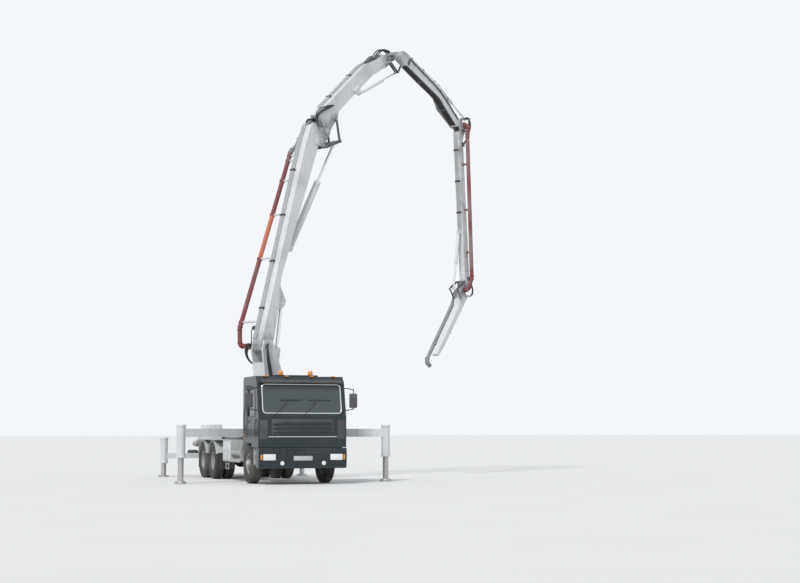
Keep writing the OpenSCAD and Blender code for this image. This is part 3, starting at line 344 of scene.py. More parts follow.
def ring_of(o, count, centre, axis):
    """Copies a piece round an axis, all in one mesh."""
    edit_all(o)
    bpy.ops.mesh.spin(
        dupli=True, steps=count - 1, angle=2 * math.pi * (count - 1) / count, center=centre, axis=axis
    )
    bpy.ops.object.mode_set(mode="OBJECT")
    return o


def grid_of(o, *rows):
    """Repeats a piece by each row's step, as often as its count says."""
    for step, count in rows:
        apply_modifier(
            o, "ARRAY", use_relative_offset=False, use_constant_offset=True,
            constant_offset_displace=step, count=count,
        )
    return o


def carve(o, cutter):
    """Takes the cutter's shape out of a piece."""
    apply_modifier(o, "BOOLEAN", operation="DIFFERENCE", solver="EXACT", object=cutter)
    bpy.data.objects.remove(cutter)
    bpy.ops.object.shade_smooth_by_angle(angle=SHARP_BEYOND)
    return o


def combine(objs):
    pick(*objs)
    if len(objs) > 1:
        bpy.ops.object.join()
    return bpy.context.object


def settle(name, objs, finish, body="truck", section=None):
    """Joins pieces into one, puts them in the row frame, and lets them ride on a body."""
    o = combine(objs)
    if section:
        o.matrix_world = section_frame(section)
        apply_place(o)
    o.name = name
    o.data.materials.clear()
    o.data.materials.append(FINISH[finish])
    for p in o.data.polygons:
        p.material_index = 0
    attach(o, body)
    return o


# Shader nodes


def feed(tree, socket, value):
    """Links an output into a node's input, or sets the input to a plain value or colour."""
    if isinstance(value, bpy.types.NodeSocket):
        tree.links.new(value, socket)
    else:
        socket.default_value = (*value, 1.0) if socket.type == "RGBA" else value


def add_node(tree, kind, inputs=(), **settings):
    """Outputs of a new node with these settings, whose inputs are fed by name or number."""
    n = tree.nodes.new("ShaderNode" + kind)
    for key, value in settings.items():
        setattr(n, key, value)
    for label, value in dict(inputs).items():
        feed(tree, n.inputs[label], value)
    return n.outputs


def remap(tree, value, low, high, to_low=0.0, to_high=1.0):
    limits = {"Value": value, "From Min": low, "From Max": high, "To Min": to_low, "To Max": to_high}
    return add_node(tree, "MapRange", limits, interpolation_type="SMOOTHSTEP")["Result"]


def calc(tree, kind, a, b):
    return add_node(tree, "Math", {0: a, 1: b}, operation=kind)[0]


def object_place(tree):
    return add_node(tree, "TexCoord")["Object"]


def noise(tree, scale, detail, stretch=(1, 1, 1)):
    place = add_node(tree, "Mapping", {"Vector": object_place(tree), "Scale": stretch})["Vector"]
    return add_node(tree, "TexNoise", {"Vector": place, "Scale": scale, "Detail": detail})["Fac"]


def blend_colour(tree, factor, a, b):
    """Mixes two colours, each of them a socket or a plain value."""
    mix = tree.nodes.new("ShaderNodeMix")
    mix.data_type = "RGBA"
    feed(tree, mix.inputs["Factor"], factor)
    first, second = [socket for socket in mix.inputs if socket.type == "RGBA"]
    feed(tree, first, a)
    feed(tree, second, b)
    return [socket for socket in mix.outputs if socket.type == "RGBA"][0]


def new_group(name, inputs, outputs):
    """Node group with its sockets: the tree, what it is given, and where its results go."""
    g = bpy.data.node_groups.new(name, "ShaderNodeTree")
    for label, kind, value in inputs:
        socket = g.interface.new_socket(name=label, in_out="INPUT", socket_type="NodeSocket" + kind)
        socket.default_value = value
    for label, kind in outputs:
        g.interface.new_socket(name=label, in_out="OUTPUT", socket_type="NodeSocket" + kind)
    return g, g.nodes.new("NodeGroupInput").outputs, g.nodes.new("NodeGroupOutput").inputs


def weathering_group():
    """Dust in patches, streaks that run down, and a fine orange-peel height."""
    g, given, result = new_group(
        "weathering",
        [
            ("Paint", "Color", (0.8, 0.8, 0.8, 1)), ("Dust", "Color", (0.4, 0.37, 0.33, 1)),
            ("Dust amount", "Float", 0.3), ("Streak amount", "Float", 0.3), ("Roughness", "Float", 0.4),
        ],
        [("Color", "Color"), ("Roughness", "Float"), ("Height", "Float")],
    )
    patches = remap(g, noise(g, 1.3, 7), 0.42, 0.72)
    specks = remap(g, noise(g, 14, 5), 0.5, 0.75)
    streaks = remap(g, noise(g, 1.4, 5, (9, 9, 0.6)), 0.5, 0.72)
    dusty = calc(g, "MAXIMUM", patches, calc(g, "MULTIPLY", specks, 0.6))
    dust = calc(g, "MULTIPLY", dusty, given["Dust amount"])
    runs = calc(g, "MULTIPLY", streaks, given["Streak amount"])
    mask = calc(g, "MAXIMUM", dust, runs)
    feed(g, result["Color"], blend_colour(g, mask, given["Paint"], given["Dust"]))
    feed(g, result["Roughness"], calc(g, "ADD", given["Roughness"], calc(g, "MULTIPLY", mask, 0.4)))
    feed(g, result["Height"], calc(g, "ADD", noise(g, 90, 2), calc(g, "MULTIPLY", mask, 1.5)))
    return g


def grease_group():
    """Dark grease that fades out round a pin."""
    g, given, result = new_group(
        "grease", [("Pin", "Vector", (0, 0, 0)), ("Reach", "Float", 0.3)], [("Mask", "Float")]
    )
    away = add_node(g, "VectorMath", {0: object_place(g), 1: given["Pin"]}, operation="DISTANCE")["Value"]
    near = calc(g, "DIVIDE", away, given["Reach"])
    ragged = calc(g, "ADD", near, calc(g, "MULTIPLY", noise(g, 7, 5), 0.9))
    feed(g, result["Mask"], remap(g, ragged, 0.8, 1.7, 1.0, 0.0))
    return g


WEATHERING = weathering_group()
GREASE = grease_group()
PALE_DUST = (0.36, 0.34, 0.31)
GREASE_COLOUR = (0.06, 0.055, 0.05)
GREASE_COVER = 0.62


def new_material(name):
    m = bpy.data.materials.new(name)
    m.use_nodes = True
    return m, m.node_tree


def shade(tree, inputs):
    """Feeds the inputs of a material's shader."""
    for label, value in inputs.items():
        feed(tree, tree.nodes["Principled BSDF"].inputs[label], value)


def bumpy(tree, height, strength, distance):
    """Normal of a surface that rises with the height."""
    return add_node(tree, "Bump", {"Height": height, "Strength": strength, "Distance": distance})["Normal"]


def paint_in_stretches(tree, colour, start, along, stretches):
    """The paint, with another one on each stretch (first, last, colour) along a line."""
    off = add_node(tree, "VectorMath", {0: object_place(tree), 1: start}, operation="SUBTRACT")["Vector"]
    s = add_node(tree, "VectorMath", {0: off, 1: along}, operation="DOT_PRODUCT")["Value"]
    paint = tuple(colour)
    for first, last, other in stretches:
        past_first = calc(tree, "GREATER_THAN", s, first)
        inside = calc(tree, "MULTIPLY", past_first, calc(tree, "LESS_THAN", s, last))
        paint = blend_colour(tree, inside, paint, other)
    return paint


def worn_paint(
    name, colour, dust, dusty, streaky, rough, metallic=0.0, coat=0.0, bump=0.02, pins=(), patch=None
):
    """Paint or metal with dust and streaks, grease at the pins, and patch's stretches of other paint."""
    m, t = new_material(name)
    paint = paint_in_stretches(t, colour, *patch) if patch else colour
    wear = {"Dust amount": dusty, "Streak amount": streaky, "Roughness": rough}
    worn = add_node(t, "Group", node_tree=WEATHERING, inputs={"Paint": paint, "Dust": dust, **wear})
    base = worn["Color"]
    for pin, reach in pins:
        grease = add_node(t, "Group", node_tree=GREASE, inputs={"Pin": pin, "Reach": reach})["Mask"]
        base = blend_colour(t, calc(t, "MULTIPLY", grease, GREASE_COVER), base, GREASE_COLOUR)
    shade(t, {
        "Base Color": base, "Roughness": worn["Roughness"], "Metallic": metallic, "Coat Weight": coat,
        "Normal": bumpy(t, worn["Height"], 0.35, bump),
    })
    return m


def clear_glass(name, tint, clear):
    """Tinted glass with a thin haze, as clear as its share of light that goes through."""
    m, t = new_material(name)
    haze = remap(t, noise(t, 1.2, 2), 0.4, 0.8, 0.03, 0.09)
    shade(t, {"Base Color": tint, "Roughness": haze, "Transmission Weight": clear})
    return m


def ribbed_lens(name, colour):
    """Coloured lamp lens with ribs."""
    m, t = new_material(name)
    ribs = add_node(t, "TexWave", {"Vector": object_place(t), "Scale": 30})["Fac"]
    rough = remap(t, noise(t, 20, 3), 0.3, 0.7, 0.08, 0.25)
    shade(t, {"Base Color": colour, "Roughness": rough, "Coat Weight": 0.6})
    shade(t, {"Normal": bumpy(t, ribs, 0.4, 0.004)})
    return m


# Sizes and colours that a user would change


def colour_setting(name, description, default):
    return FloatVectorProperty(name=name, description=description, subtype="COLOR", default=default)


def length_setting(name, description, default):
    return FloatProperty(name=name, description=description, subtype="DISTANCE", default=default)


class BoomLook(bpy.types.PropertyGroup):
    white: colour_setting("Boom paint", "Paint of the boom and turret", (0.66, 0.685, 0.705))
    pipe_red: colour_setting("Red line", "Paint of the red delivery pipes", (0.19, 0.024, 0.026))
    pipe_orange: colour_setting("Orange stretch", "Newer pipe in line 1", (0.56, 0.13, 0.055))
    pipe_grey: colour_setting("Grey line", "Worn delivery pipes", (0.27, 0.28, 0.285))
    line_radius: length_setting("Hydraulic line", "Outside radius of a hydraulic line", 0.013)
    clamp_step: length_setting("Clamp spacing", "Distance between line clamps", 0.62)


class CabLook(bpy.types.PropertyGroup):
    paint: colour_setting("Cab paint", "Paint of cab, doors and bumper", (0.004, 0.013, 0.018))
    gasket: length_setting("Gasket", "Radius of the windscreen's bright gasket", 0.02)
    slats: IntProperty(name="Slats", description="Slots of the grille", default=3, min=2, max=6)


class WheelLook(bpy.types.PropertyGroup):
    blocks: IntProperty(name="Tread blocks", description="Blocks round one tyre", default=40, min=20, max=60)
    nuts: IntProperty(name="Wheel nuts", description="Nuts on one wheel", default=10, min=6, max=12)
    rim: colour_setting("Rim paint", "Paint of the rims", (0.42, 0.43, 0.43))


class StageLook(bpy.types.PropertyGroup):
    floor: colour_setting("Floor", "Colour of the floor", (0.80, 0.80, 0.79))
    sun: FloatProperty(name="Sun", description="Strength of the soft sun", default=2.1)
    sky: FloatProperty(name="Sky", description="Strength of the sky light", default=0.62)


class PUMP_OT_stage(bpy.types.Operator):
    """Camera at the photograph's place, pale floor and soft light"""

    bl_idname = "pump.stage"
    bl_label = "Stage"

    def execute(self, context):
        look = context.scene.stage_look
        self.add_camera(context)
        self.add_floor(context, look.floor)
        self.add_sky(context, look.sky)
        self.add_sun(context, look.sun)
        context.scene.view_settings.view_transform = "Standard"
        return {"FINISHED"}

    def add_camera(self, context):
        tilt = math.radians(CAMERA_TILT)
        aim = Vector([c * math.cos(tilt) for c in CAMERA_HEADING] + [math.sin(tilt)])
        data = bpy.data.cameras.new("camera")
        data.lens = SENSOR_WIDTH * LENS_PIXELS / PHOTO_WIDTH
        data.sensor_width = SENSOR_WIDTH
        data.clip_start, data.clip_end = 0.5, 900
        cam = bpy.data.objects.new("camera", data)
        cam.location = CAMERA_AT
        cam.rotation_euler = aim.to_track_quat("-Z", "Y").to_euler()
        context.scene.collection.objects.link(cam)
        context.scene.camera = cam

    def add_floor(self, context, colour):
        deselect()
        bpy.ops.mesh.primitive_plane_add(size=700, location=(0, 0, -0.002))
        floor = context.object
        floor.name = "floor"
        apply_place(floor)
        m, t = new_material("floor")
        tone = blend_colour(t, noise(t, 0.4, 6), [c * 0.95 for c in colour], colour)
        shade(t, {"Base Color": tone, "Roughness": 0.9, "Specular IOR Level": 0.1})
        floor.data.materials.append(m)

    def add_sky(self, context, strength):
        """Pale backdrop for the camera and for reflections, softer light for the rest."""
        world = bpy.data.worlds.new("sky")
        context.scene.world = world
        world.use_nodes = True
        t = world.node_tree
        t.nodes.clear()
        seen = add_node(t, "Background", {"Color": (0.90, 0.93, 0.97)})
        light = add_node(t, "Background", {"Color": (0.93, 0.96, 1.0), "Strength": strength})
        rays = add_node(t, "LightPath")
        shown = calc(t, "MAXIMUM", rays["Is Camera Ray"], rays["Is Glossy Ray"])
        shown = calc(t, "MAXIMUM", shown, rays["Is Transmission Ray"])
        mix = add_node(t, "MixShader", {0: shown, 1: light[0], 2: seen[0]})
        add_node(t, "OutputWorld", {"Surface": mix[0]})

    def add_sun(self, context, strength):
        sun = bpy.data.lights.new("sun", "SUN")
        sun.energy = strength
        sun.angle = math.radians(12)
        lamp = bpy.data.objects.new("sun", sun)
        lamp.rotation_euler = Vector((-0.62, 0.55, -0.75)).to_track_quat("-Z", "Y").to_euler()
        context.scene.collection.objects.link(lamp)


class PUMP_OT_finishes(bpy.types.Operator):
    """Paints, metals, rubber and glass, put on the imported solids"""

    bl_idname = "pump.finishes"
    bl_label = "Finishes"
    # Radius inside which a wheel's faces belong to its rim
    RIM_EDGE = 0.274

    def execute(self, context):
        boom, cab, wheel = context.scene.boom_look, context.scene.cab_look, context.scene.wheel_look
        for name, spots in GREASY_PINS.items():
            pins = [(section_point(*spot[:4]), spot[4]) for spot in spots]
            # Outer sections get more dust and streaks, so their paint comes out darker
            dusty, streaky = SECTION_DARKENING.get(name, USUAL_DARKENING)
            FINISH[name] = worn_paint(
                name + "_paint", boom.white, (0.27, 0.26, 0.24), dusty, streaky, 0.38, pins=pins
            )
        root = section_point("boom_1", 0, 0, 0)
        along = section_point("boom_1", 1, 0, 0) - root
        newer = (root, along, [(2.72, 4.12, boom.pipe_orange), (6.25, 9.0, boom.pipe_grey)])
        FINISH["pipe_1"] = worn_paint(
            "line_1_paint", boom.pipe_red, (0.22, 0.2, 0.18), 0.5, 0.3, 0.5, patch=newer
        )
        # Material, its colour, its dust's, how dusty, streaky and rough; then how metallic, coat, bumps
        paints = {
            "white": ("white_paint", boom.white, PALE_DUST, 0.3, 0.35, 0.4),
            "pipe_red": ("line_red_paint", boom.pipe_red, (0.3, 0.27, 0.25), 0.6, 0.4, 0.5),
            "pipe_grey": ("line_grey_paint", boom.pipe_grey, (0.16, 0.13, 0.11), 0.6, 0.4, 0.5),
            "dark": ("chassis_paint", (0.018, 0.018, 0.02), (0.12, 0.115, 0.108), 0.5, 0.3, 0.5),
            "deck": ("deck_paint", (0.48, 0.5, 0.5), PALE_DUST, 0.4, 0.35, 0.45),
            "linkage": ("linkage_paint", (0.07, 0.075, 0.08), (0.3, 0.28, 0.26), 0.3, 0.3, 0.45),
            "rubber": ("tyre_rubber", (0.022, 0.022, 0.022), (0.2, 0.18, 0.15), 0.5, 0.1, 0.7),
            "hose": ("hose_rubber", (0.02, 0.02, 0.02), (0.15, 0.14, 0.13), 0.3, 0.3, 0.6),
            "rim": ("rim_paint", wheel.rim, (0.2, 0.16, 0.12), 0.5, 0.3, 0.45),
            "inside": ("cab_plastic", (0.05, 0.05, 0.055), PALE_DUST, 0.15, 0.0, 0.6),
            "hopper": ("hopper_paint", (0.5, 0.51, 0.51), (0.3, 0.29, 0.27), 0.75, 0.6, 0.6),
            "cab": ("cab_paint", cab.paint, (0.07, 0.07, 0.068), 0.16, 0.14, 0.3, 0.0, 0.15, 0.002),
            "steel": ("bare_steel", (0.5, 0.5, 0.5), (0.2, 0.17, 0.15), 0.3, 0.3, 0.34, 0.85, 0.0, 0.004),
            "chrome": ("hard_chrome", (0.82, 0.83, 0.84), (0.4, 0.4, 0.4), 0.1, 0.1, 0.1, 1.0, 0.0, 0.001),
            "mirror": ("mirror_glass", (0.7, 0.72, 0.74), PALE_DUST, 0.05, 0.0, 0.03, 1.0, 0.0, 0.0005),
            "bright": ("bright_trim", (0.7, 0.71, 0.72), PALE_DUST, 0.1, 0.1, 0.2, 0.9, 0.0, 0.001),
        }
        for key, row in paints.items():
            FINISH[key] = worn_paint(*row)
        FINISH["glass"] = clear_glass("window_glass", (0.085, 0.105, 0.115), 0.35)
        FINISH["lamp"] = ribbed_lens("lamp_glass", (0.75, 0.77, 0.78))
        FINISH["amber"] = ribbed_lens("amber_lens", (0.8, 0.28, 0.02))
        FINISH["red"] = ribbed_lens("red_lens", (0.55, 0.02, 0.02))
        # A node whose own name is a finish gets that one, the others get their slot's
        for part in frame["record"]["subparts"]:
            name = part["node"]
            mesh = NODES[name].data
            mesh.materials.clear()
            mesh.materials.append(FINISH.get(name) or FINISH[FINISH_OF_SLOT[part["material_slot"]]])
        for name in NODES:
            if name.startswith("wheel_"):
                self.paint_rim(name)
        return {"FINISHED"}

    def paint_rim(self, name):
        """Faces inside the tyre's bead get the rim's paint."""
        mesh = NODES[name].data
        lo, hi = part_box(name)
        centre = (lo + hi) / 2
        mesh.materials.append(FINISH["rim"])
        for p in mesh.polygons:
            d = math.hypot(p.center.x - centre.x, p.center.z - centre.z)
            p.material_index = 1 if d < self.RIM_EDGE else 0


class PUMP_OT_boom_lines(bpy.types.Operator):
    """Hydraulic lines with their clamps along the sections, and hose loops at the joints"""

    bl_idname = "pump.boom_lines"
    bl_label = "Boom lines"

    def execute(self, context):
        look = context.scene.boom_look
        for section, (path, off, across, spread) in LINE_RUNS.items():
            pipes = [
                tube([(x, y, z + off) for x, z in path], look.line_radius, smooth=False) for y in across
            ]
            clamps = self.clamps(path, off, across, look.clamp_step * spread * 2)
            settle(section + "_hydraulic_lines", pipes, "deck", section, section)
            settle(section + "_line_clamps", clamps, "dark", section, section)
        for section, hoses in HOSE_LOOPS.items():
            made = [tube(hose, HOSE_RADIUS) for hose in hoses]
            settle(section + "_hose_loops", made, "hose", section, section)
        for section, corners in HOSE_BLOCKS.items():
            made = [block(lo, hi, 0.01) for lo, hi in corners]
            settle(section + "_hose_blocks", made, "linkage", section, section)
        return {"FINISHED"}

    def clamps(self, path, off, across, step):
        """Clamps about a step apart along each straight of the path, over all its lines."""
        made = []
        # Half a clamp's length, how far it reaches past the outer lines and above them
        half, past, above = 0.028, 0.035, 0.02
        for (x0, z0), (x1, z1) in zip(path, path[1:]):
            count = int(math.hypot(x1 - x0, z1 - z0) / step)
            for i in range(count):
                s = (i + 0.5) / count
                x, z = x0 + (x1 - x0) * s, z0 + (z1 - z0) * s
                low = z if off > 0 else z + off - above
                made.append(block(
                    (x - half, min(across) - past, low),
                    (x + half, max(across) + past, low + abs(off) + above), 0.006, 1,
                ))
        return made


class PUMP_OT_pins(bpy.types.Operator):
    """Retainer plates with their screws on the pivots, and doubler plates on the beams"""

    bl_idname = "pump.pins"
    bl_label = "Pins and doublers"
    # Outside faces of sections 1 and 2
    FACE_1 = 0.18
    FACE_2 = 0.17

    def execute(self, context):
        for section, places in PIN_CAPS.items():
            made = [o for place in places for o in self.cap(*place)]
            settle(section + "_pin_caps", made, "steel", section, section)

        root_1 = [(-0.12, -0.17), (0.5, -0.15), (0.9, 0.02), (0.5, 0.2), (-0.05, 0.2), (-0.17, 0.08)]
        lug_1 = [(1.15, -0.06), (2.0, 0.18), (2.0, 0.26), (1.15, 0.22)]
        doublers = self.on_both_faces(self.FACE_1, 0.008, 0.003, root_1, lug_1)
        for x in (2.6, 3.8, 5.0):
            top = 0.23 + (x - 0.3) * 0.0727
            rib = [(x, 0.165), (x + 0.09, 0.165), (x + 0.09, top - 0.01), (x, top - 0.015)]
            doublers += self.on_both_faces(self.FACE_1, 0.006, 0.002, rib)
        settle("boom_1_doublers", doublers, "boom_1", "boom_1", "boom_1")

        root_2 = [(0.09, 0.19), (0.7, 0.19), (0.95, 0.4), (0.7, 0.56), (0.09, 0.56)]
        end_2 = [(3.1, 0.12), (3.5, 0.06), (3.72, 0.14), (3.72, 0.3), (3.5, 0.38), (3.1, 0.5)]
        doublers = self.on_both_faces(self.FACE_2, 0.007, 0.003, root_2, end_2)
        settle("boom_2_doublers", doublers, "boom_2", "boom_2", "boom_2")
        return {"FINISHED"}

    def cap(self, x, y, z, radius, screws):
        side = 1 if y > 0 else -1
        flange = round_bar((x, y, z), (x, y + side * 0.012, z), radius, 28, 0.003)
        reach = x + radius * 0.72
        screw = round_bar((reach, y + side * 0.01, z), (reach, y + side * 0.024, z), radius * 0.1, 6)
        return [flange, ring_of(screw, screws, (x, y, z), Y_AXIS)]

    def on_both_faces(self, face, thick, edge, *outlines):
        """Plates with these outlines on a beam's left face, then on its right one."""
        made = []
        for y0, y1 in ((face, face + thick), (-face - thick, -face)):
            made += [plate(outline, y0, y1, edge) for outline in outlines]
        return made


class PUMP_OT_work_lamp(bpy.types.Operator):
    """Work lamp on its stalk at the boom's root"""

    bl_idname = "pump.work_lamp"
    bl_label = "Work lamp"

    def execute(self, context):
        stalk = [
            round_bar((-0.68, 0.3, 3.9), (-0.68, 0.3, 4.3), 0.014, 12),
            block((-0.71, 0.2, 3.88), (-0.65, 0.325, 3.91), 0.004),
            round_bar((-0.68, 0.3, 4.3), (-0.61, 0.3, 4.36), 0.012, 12),
            round_bar((-0.62, 0.3, 4.36), (-0.53, 0.3, 4.36), 0.05, 20, 0.008, 0.075),
        ]
        settle("root_lamp_stalk", stalk, "dark", "turret", "turret")
        lens = round_bar((-0.532, 0.3, 4.36), (-0.522, 0.3, 4.36), 0.066, 24, 0.004)
        settle("root_lamp_lens", [lens], "lamp", "turret", "turret")
        return {"FINISHED"}


class PUMP_OT_wheels(bpy.types.Operator):
    """Tread blocks, hand holes and nuts on all wheels"""

    bl_idname = "pump.wheels"
    bl_label = "Wheels"
    # Tread blocks: lowest and outer radius; half the distance between twin tyres
    TREAD = (0.531, 0.546)
    HALF_TWIN = 0.162

    def execute(self, context):
        look = context.scene.wheel_look
        for name in sorted(n for n in NODES if n.startswith("wheel_")):
            lo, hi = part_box(name)
            c = (lo + hi) / 2
            side = 1 if c.y > 0 else -1
            twin = "front" not in name
            centre = (c.x, 0, c.z)
            settle(name + "_tread", self.tread(c, twin, look.blocks), "rubber", name)

            face = c.y + side * (0.073 if twin else 0.019)
            hub_end = 0.2 if twin else 0.15
            x = c.x + 0.16
            nut = round_bar((x, face - side * 0.01, c.z), (x, face + side * 0.035, c.z), 0.017, 6)
            hub = round_bar(
                (c.x, c.y + side * (hub_end - 0.01), c.z), (c.x, c.y + side * (hub_end + 0.03), c.z),
                0.1, 32, 0.012, 0.07,
            )
            settle(name + "_hub_and_nuts", [ring_of(nut, look.nuts, centre, Y_AXIS), hub], "steel", name)
            z = c.z + 0.205
            hole = round_bar((c.x, face - side * 0.004, z), (c.x, face + side * 0.004, z), 0.026, 20, 0.002)
            settle(name + "_hand_holes", [ring_of(hole, 8, centre, Y_AXIS)], "dark", name)
        return {"FINISHED"}

    def tread(self, c, twin, count):
        """Two rings of blocks on each tyre, one half a block on from the other."""
        width = 0.275 if twin else 0.3
        half = width * 0.115
        low, top = self.TREAD
        rings = []
        for y in ([c.y - self.HALF_TWIN, c.y + self.HALF_TWIN] if twin else [c.y]):
            for shift, turn in ((-width * 0.2, 0.0), (width * 0.2, math.pi / count)):
                b = block((-0.026, y + shift - half, low), (0.026, y + shift + half, top), 0.003, 1)
                b.rotation_euler = (0, turn, 0)
                apply_place(b)
                b.location = (c.x, 0, c.z)
                apply_place(b)
                rings.append(ring_of(b, count, (c.x, 0, c.z), Y_AXIS))
        return rings


class PUMP_OT_cab(bpy.types.Operator):
    """Windscreen gasket, wipers, grille, lamps, mirrors, beacons and door fittings"""

    bl_idname = "pump.cab"
    bl_label = "Cab"
    # Windscreen's opening: lowest and highest edge, half width, corner radius
    SCREEN = (1.90, 2.68, 1.095, 0.09)

    def execute(self, context):
        look = context.scene.cab_look
        self.add_windscreen(look.gasket)
        self.add_grille(look.slats)
        amber = self.add_front_lamps() + self.add_roof()
        self.add_mirrors()
        self.add_door_fittings()
        amber += both_sides([((1.2, 1.214, 1.3), (1.3, 1.238, 1.35))])
        settle("amber_lamps", amber, "amber")
        return {"FINISHED"}

    @staticmethod
    def screen_x(z):
        """Front of the cab at a height beside the windscreen, which leans back."""
        return 2.80 - 0.2209 * (z - 1.88)

    def add_windscreen(self, gasket):
        low, high, half, r = self.SCREEN
        right, left, bottom, top = r - half, half - r, low + r, high - r
        ring = []
        for y, z, start in ((left, top, 0), (right, top, 90), (right, bottom, 180), (left, bottom, 270)):
            for i in range(6):
                a = math.radians(start + i * 18)
                height = z + r * math.sin(a)
                ring.append((self.screen_x(height) + 0.006, y + r * math.cos(a), height))
        settle("windscreen_gasket", [tube(ring + ring[:1], gasket, smooth=False)], "bright")
        wipers = []
        blade_x = self.screen_x(2.25)
        for y in (-0.75, 0.05):
            wipers += [
                round_bar((2.83, y, 1.86), (self.screen_x(2.3) + 0.03, y + 0.42, 2.3), 0.009, 10),
                block((blade_x + 0.012, y + 0.12, 2.25), (blade_x + 0.026, y + 0.75, 2.27), 0.003, 1),
                round_bar((2.80, y, 1.84), (2.855, y, 1.86), 0.022, 16, 0.004),
            ]
        settle("wipers", wipers, "dark")

    def add_grille(self, count):
        slats = []
        step = 0.34 / count
        for i in range(count):
            z = 1.36 + step * i
            slat = [(2.832, z), (2.862, z + 0.012), (2.846, z + step * 0.62), (2.832, z + step * 0.66)]
            slats.append(plate(slat, -0.82, 0.82, 0.003))
        settle("grille_slats", slats, "cab")
        backs = [
            block((2.826, -0.86, 1.33), (2.836, 0.86, 1.74), 0.004),
            block((2.5, -1.05, 0.93), (2.78, 1.05, 1.03), 0.01),
        ]
        settle("grille_back", backs, "inside")
        settle("corner_panels", both_sides([((2.80, 0.97, 1.2), (2.842, 1.19, 1.72))], 0.02, 3), "inside")
        settle("front_trim_strip", [block((2.826, -0.95, 1.26), (2.84, 0.95, 1.285), 0.003, 1)], "bright")

    def add_front_lamps(self):
        """Head and spot lamps, plate area and bumper slots; returns the amber lamps beside them."""
        spots = (-0.5766, 0.5766)
        frames = both_sides([((2.86, 0.73, 0.62), (2.892, 1.13, 0.84))], 0.012)
        frames += [round_bar((2.86, y, 0.57), (2.892, y, 0.57), 0.07, 24, 0.006) for y in spots]
        lenses = both_sides([((2.884, 0.76, 0.65), (2.9, 1.1, 0.81))], 0.008)
        lenses += [round_bar((2.886, y, 0.57), (2.9, y, 0.57), 0.056, 24, 0.004) for y in spots]
        amber = both_sides([((2.84, 1.11, 0.66), (2.888, 1.17, 0.8))])
        settle("headlamp_frames", frames, "dark")
        settle("headlamp_lenses", lenses, "lamp")
        settle("plate_area", [block((2.875, -0.26, 0.64), (2.886, 0.26, 0.76), 0.003)], "deck")
        slots = [block((2.872, -0.499, z), (2.888, 0.5, z + 0.022), 0.004, 1) for z in (0.84, 0.88, 0.92)]
        settle("bumper_slots", slots, "dark")
        return amber

    def add_roof(self):
        """Visor and beacon bar; returns the beacons and the marker lamps."""
        visor = [(2.60, 2.70), (2.78, 2.70), (2.80, 2.73), (2.64, 2.80), (2.56, 2.80)]
        settle("sun_visor", [plate(visor, -1.12, 1.12, 0.008)], "dark")
        bar = [block((2.0, -0.62, 2.915), (2.16, 0.62, 2.945), 0.01)]
        bar += both_sides([((2.04, 0.47, 2.895), (2.12, 0.53, 2.92))], 0.004)
        settle("beacon_bar", bar, "dark")
        beacons = [round_bar((2.08, y, 2.94), (2.08, y, 3.07), 0.075, 28, 0.02, 0.06) for y in (-0.42, 0.42)]
        markers = [((2.44, y - 0.05, 2.885), (2.5, y + 0.05, 2.92)) for y in (0.35, 0.95)]
        return beacons + both_sides(markers, 0.01)

    def add_mirrors(self):
        """Mirrors on both sides, and a close-view mirror over the right door."""
        arms = []
        for y in (-1.46, 1.46):
            s = math.copysign(1, y)
            for z, lean in ((1.98, 0.05), (2.58, -0.05)):
                arms.append(tube([(2.62, s * 1.21, z), (2.74, s * 1.36, z), (2.72, y, z + lean)], 0.014))
            arms.append(round_bar((2.72, y, 2.0), (2.72, y, 2.56), 0.014, 12))
        settle("mirror_arms", arms, "dark")
        heads = both_sides([((2.67, 1.35, 2.05), (2.75, 1.57, 2.44))], 0.03, 4)
        heads.append(block((2.66, -1.56, 2.5), (2.74, -1.37, 2.64), 0.03, 4))
        settle("mirror_heads", heads, "inside")
        settle("mirror_faces", both_sides([((2.664, 1.37, 2.08), (2.672, 1.55, 2.41))], 0.003, 1), "mirror")

    def add_door_fittings(self):
        """Door panes, trims and grips, and the grab rails beside the doors."""
        pane = [(1.652, 1.822), (1.652, 2.558), (2.388, 2.558), (2.448, 2.28), (2.448, 1.822)]
        trim = [(1.648, 1.818), (1.648, 2.562), (2.392, 2.562), (2.452, 2.28), (2.452, 1.818), (1.648, 1.818)]
        for name, s in (("door_left", 1), ("door_right", -1)):
            y0, y1 = sorted((s * 1.188, s * 1.196))
            settle(name + "_pane", [plate(pane, y0, y1, 0.0)], "glass", name)
            frame_line = [(x, s * 1.222, z) for x, z in trim]
            settle(name + "_window_trim", [tube(frame_line, 0.011, smooth=False)], "dark", name)
            grip = block((1.66, s * 1.226 - 0.006, 1.655), (1.9, s * 1.226 + 0.006, 1.71), 0.008)
            settle(name + "_grip", [grip], "dark", name)
        rails = [
            [(1.44, 1.22, 1.45), (1.44, 1.29, 1.47), (1.44, 1.29, 2.05), (1.44, 1.22, 2.07)],
            [(2.57, 1.22, 1.3), (2.6, 1.28, 1.32), (2.6, 1.28, 1.72), (2.57, 1.22, 1.74)],
        ]
        made = [tube([(x, s * y, z) for x, y, z in rail], 0.014) for s in (-1, 1) for rail in rails]
        settle("grab_rails", made, "dark")


